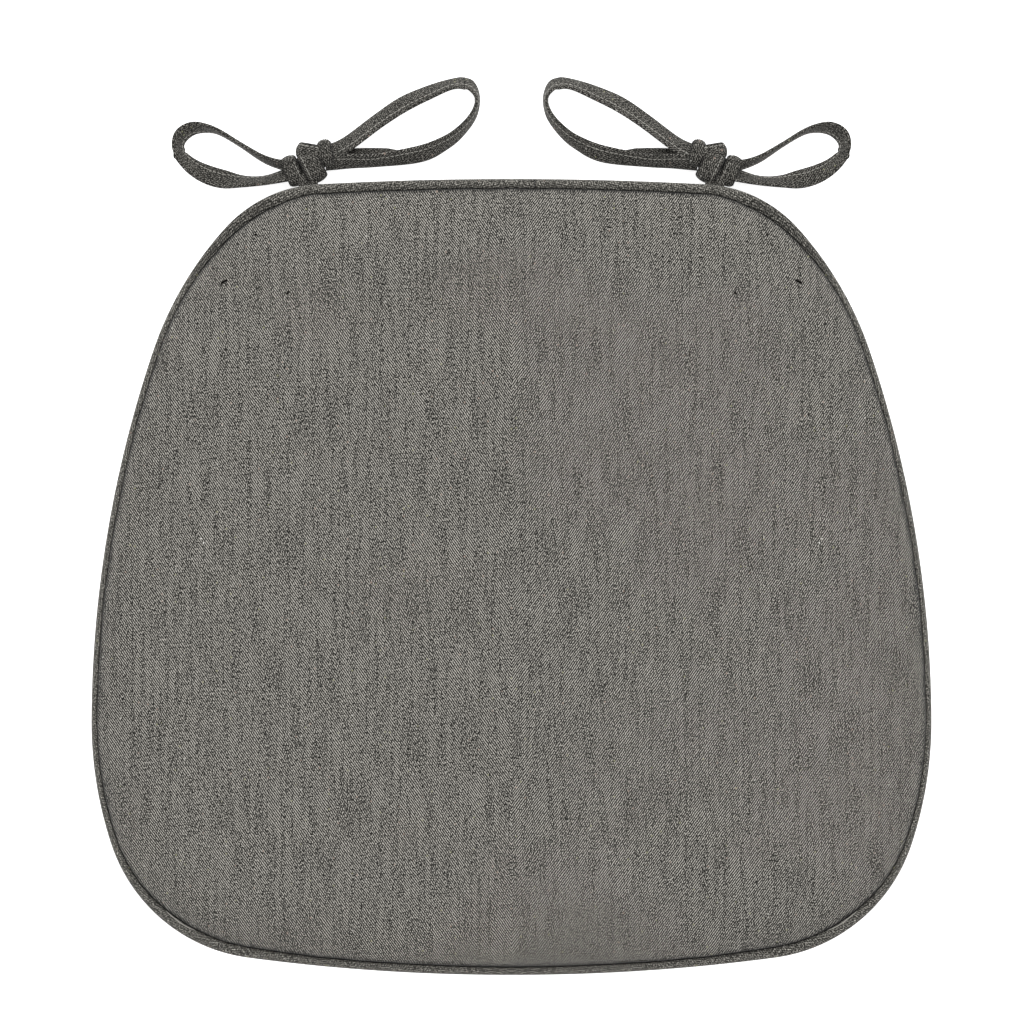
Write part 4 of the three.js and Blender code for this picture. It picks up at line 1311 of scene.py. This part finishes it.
def make_zip_coil(place):
    """One half of the chain: a monofilament wound into a coil, with a head on each turn."""
    low, high = box_mm(f"zip_coil_{place}")
    inner_side = 1 if place == "front" else -1
    radius_y = (high[1] - low[1]) / 2 - COIL_WIRE
    radius_z = (high[2] - low[2]) / 2 - COIL_WIRE
    turns = int((high[0] - low[0] - 2 * COIL_WIRE) / COIL_PITCH)
    steps = 12
    t = np.arange(turns * steps + 1) / steps
    turn = 2 * math.pi * t
    skew = 0.28 * COIL_PITCH * np.sin(turn)
    centres = np.column_stack(
        [
            low[0] + COIL_WIRE + t * COIL_PITCH + skew,
            (low[1] + high[1]) / 2 + inner_side * radius_y * np.cos(turn),
            (low[2] + high[2]) / 2 + radius_z * np.sin(turn),
        ]
    )
    centres[:, 0] = np.clip(centres[:, 0], low[0] + COIL_WIRE, high[0] - COIL_WIRE)
    tangent = unit(np.gradient(centres, axis=0))
    side = unit(np.cross(tangent, (1.0, 0.0, 0.0)))
    up = np.cross(tangent, side)
    head = COIL_WIRE * (1 + 0.25 * smooth_step(np.cos(turn), 0.6, 1.0))
    angles = np.linspace(0, 2 * math.pi, 6, endpoint=False)
    wire = [
        centres + head[:, None] * (side * math.cos(a) + up * math.sin(a)) for a in angles
    ]
    points = np.stack(wire, axis=1)
    points[..., 1] = np.clip(points[..., 1], low[1], high[1])
    shape = Shape()
    shape.add(points, tube_faces(len(centres), 6, False))
    piece = shape.make(f"zip_coil_{place}_wound", [MATERIALS["zip_coil"]])
    settle(piece, "pad", "zip_coil", f"zip_coil_{place}")


def finish_metal():
    """Rounds the edges of the metal parts, which keep their CAD shape, and gives them their finish."""
    for name in ("zip_top_stop_front", "zip_top_stop_rear", "zip_bottom_stop", "zip_slider", "zip_pull"):
        node = frame["nodes"][name]
        node.data.materials.clear()
        node.data.materials.append(MATERIALS["zip_metal"])
        bevel = node.modifiers.new("rounded", "BEVEL")
        bevel.width = 0.14 * METRES
        bevel.segments = 3
        bevel.limit_method = "ANGLE"
        bevel.angle_limit = math.radians(40)


def make_zip_facing():
    """A strip of zip tape behind the zip, which keeps the filling out of the teeth. Its ends turn down."""
    slider_low, slider_high = box_mm("zip_slider")
    xs, across = np.linspace(-ZIP_HALF + 0.2, ZIP_HALF - 0.2, 130), np.linspace(-1, 1, 9)
    reach = (slider_high[1] - slider_low[1]) / 2 + 0.1
    section = [(a, 0.04) for a in across] + [(a, 0.2) for a in across[::-1]]
    points = np.array([[(x, ZIP_Y + a * reach, slider_high[2] + b) for a, b in section] for x in xs])
    points[..., 2] += 0.025 * np.sin(points[..., 0] / 3.1)
    fall = smooth_step(np.abs(points[..., 0]), ZIP_HALF - 2.6, ZIP_HALF - 0.4)
    points[..., 2] -= fall * (slider_high[2] - 1.5)
    shape = Shape()
    shape.add(points, tube_faces(len(xs), len(section), False))
    piece = shape.make("zip_facing", [MATERIALS["zip_tape"]])
    settle(piece, "pad", "zip_tape")


make_zip_facing()
for place in ("front", "rear"):
    make_zip_tape(place)
    make_zip_coil(place)
finish_metal()

# ---- Lint on the top ----

# Each fibre: x and y of its middle on the left half, its length, its turn in degrees, and its bend.
DARK_LINT = ((-146.3, 150.3, 4.0, 28, 0.5), (-113.8, 144.8, 1.6, 60, 0.1), (-130.3, 174.6, 1.3, 40, 0.1))
PALE_LINT = ((-156.7, 17.4, 1.2, 70, 0.1), (-158.0, 19.5, 0.8, 10, 0.1))


def make_lint(name, fibres, radius, material):
    """Short fibres that lie on the top of the pad, the same on both halves."""
    tree = BVHTree.FromObject(top_panel, bpy.context.evaluated_depsgraph_get())
    shape = Shape()
    for mirror in (1, -1):
        for x, y, length, turn, bend in fibres:
            angle = math.radians(turn)
            t = np.linspace(-0.5, 0.5, 9)
            flat = np.column_stack([t * length, bend * np.cos(math.pi * t)])
            flat = flat @ np.array([[math.cos(angle), math.sin(angle)], [-math.sin(angle), math.cos(angle)]])
            flat = (flat + (x, y)) * (mirror, 1)
            way = unit(np.gradient(flat, axis=0))
            rings = []
            for (px, py), (wx, wy), share in zip(flat, way, t):
                hit = tree.ray_cast(Vector((px, py, 60)) * METRES, Vector((0, 0, -1)))[0]
                thick = radius * math.sqrt(max(0.05, 1 - (2 * share) ** 4))
                for a in np.linspace(0, 2 * math.pi, 7, endpoint=False):
                    wide, high = thick * math.cos(a), thick * math.sin(a)
                    rings.append((px - wy * wide, py + wx * wide, hit.z / METRES + radius * 0.8 + high))
            shape.add(rings, tube_faces(9, 7, False))
    piece = shape.make(name, [material])
    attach(piece, "pad")


make_lint("lint_dark", DARK_LINT, 0.6, MATERIALS["dark_lint"])
make_lint("lint_pale", PALE_LINT, 0.38, MATERIALS["pale_lint"])

# ---- Floor and light ----

FLOOR_SIZE = 6.0
FLOOR_HEIGHT = -0.0002


def make_studio():
    half = FLOOR_SIZE / 2 / METRES
    height = FLOOR_HEIGHT / METRES
    corners = [(-half, -half, height), (half, -half, height), (half, half, height), (-half, half, height)]
    floor = make_object("studio_floor", corners, [(0, 1, 2, 3)], smooth=False)
    floor.data.materials.append(floor_material())

    world = bpy.data.worlds.new("studio")
    world.use_nodes = True
    world.node_tree.nodes["Background"].inputs["Color"].default_value = (1, 1, 1, 1)
    world.node_tree.nodes["Background"].inputs["Strength"].default_value = 0.85
    bpy.context.scene.world = world

    for name, place, size, power in (
        ("key", (0.16, 2.75, 3.25), 2.8, 96.0),
        ("fill", (-0.3, -1.6, 1.5), 1.6, 3.0),
    ):
        data = bpy.data.lights.new(name, "AREA")
        data.shape = "DISK"
        data.size = size
        data.energy = power
        lamp = bpy.data.objects.new(name, data)
        lamp.location = place
        lamp.rotation_euler = (-Vector(place)).to_track_quat("-Z", "Y").to_euler()
        bpy.context.scene.collection.objects.link(lamp)


make_studio()
bpy.context.scene.view_settings.view_transform = "Standard"
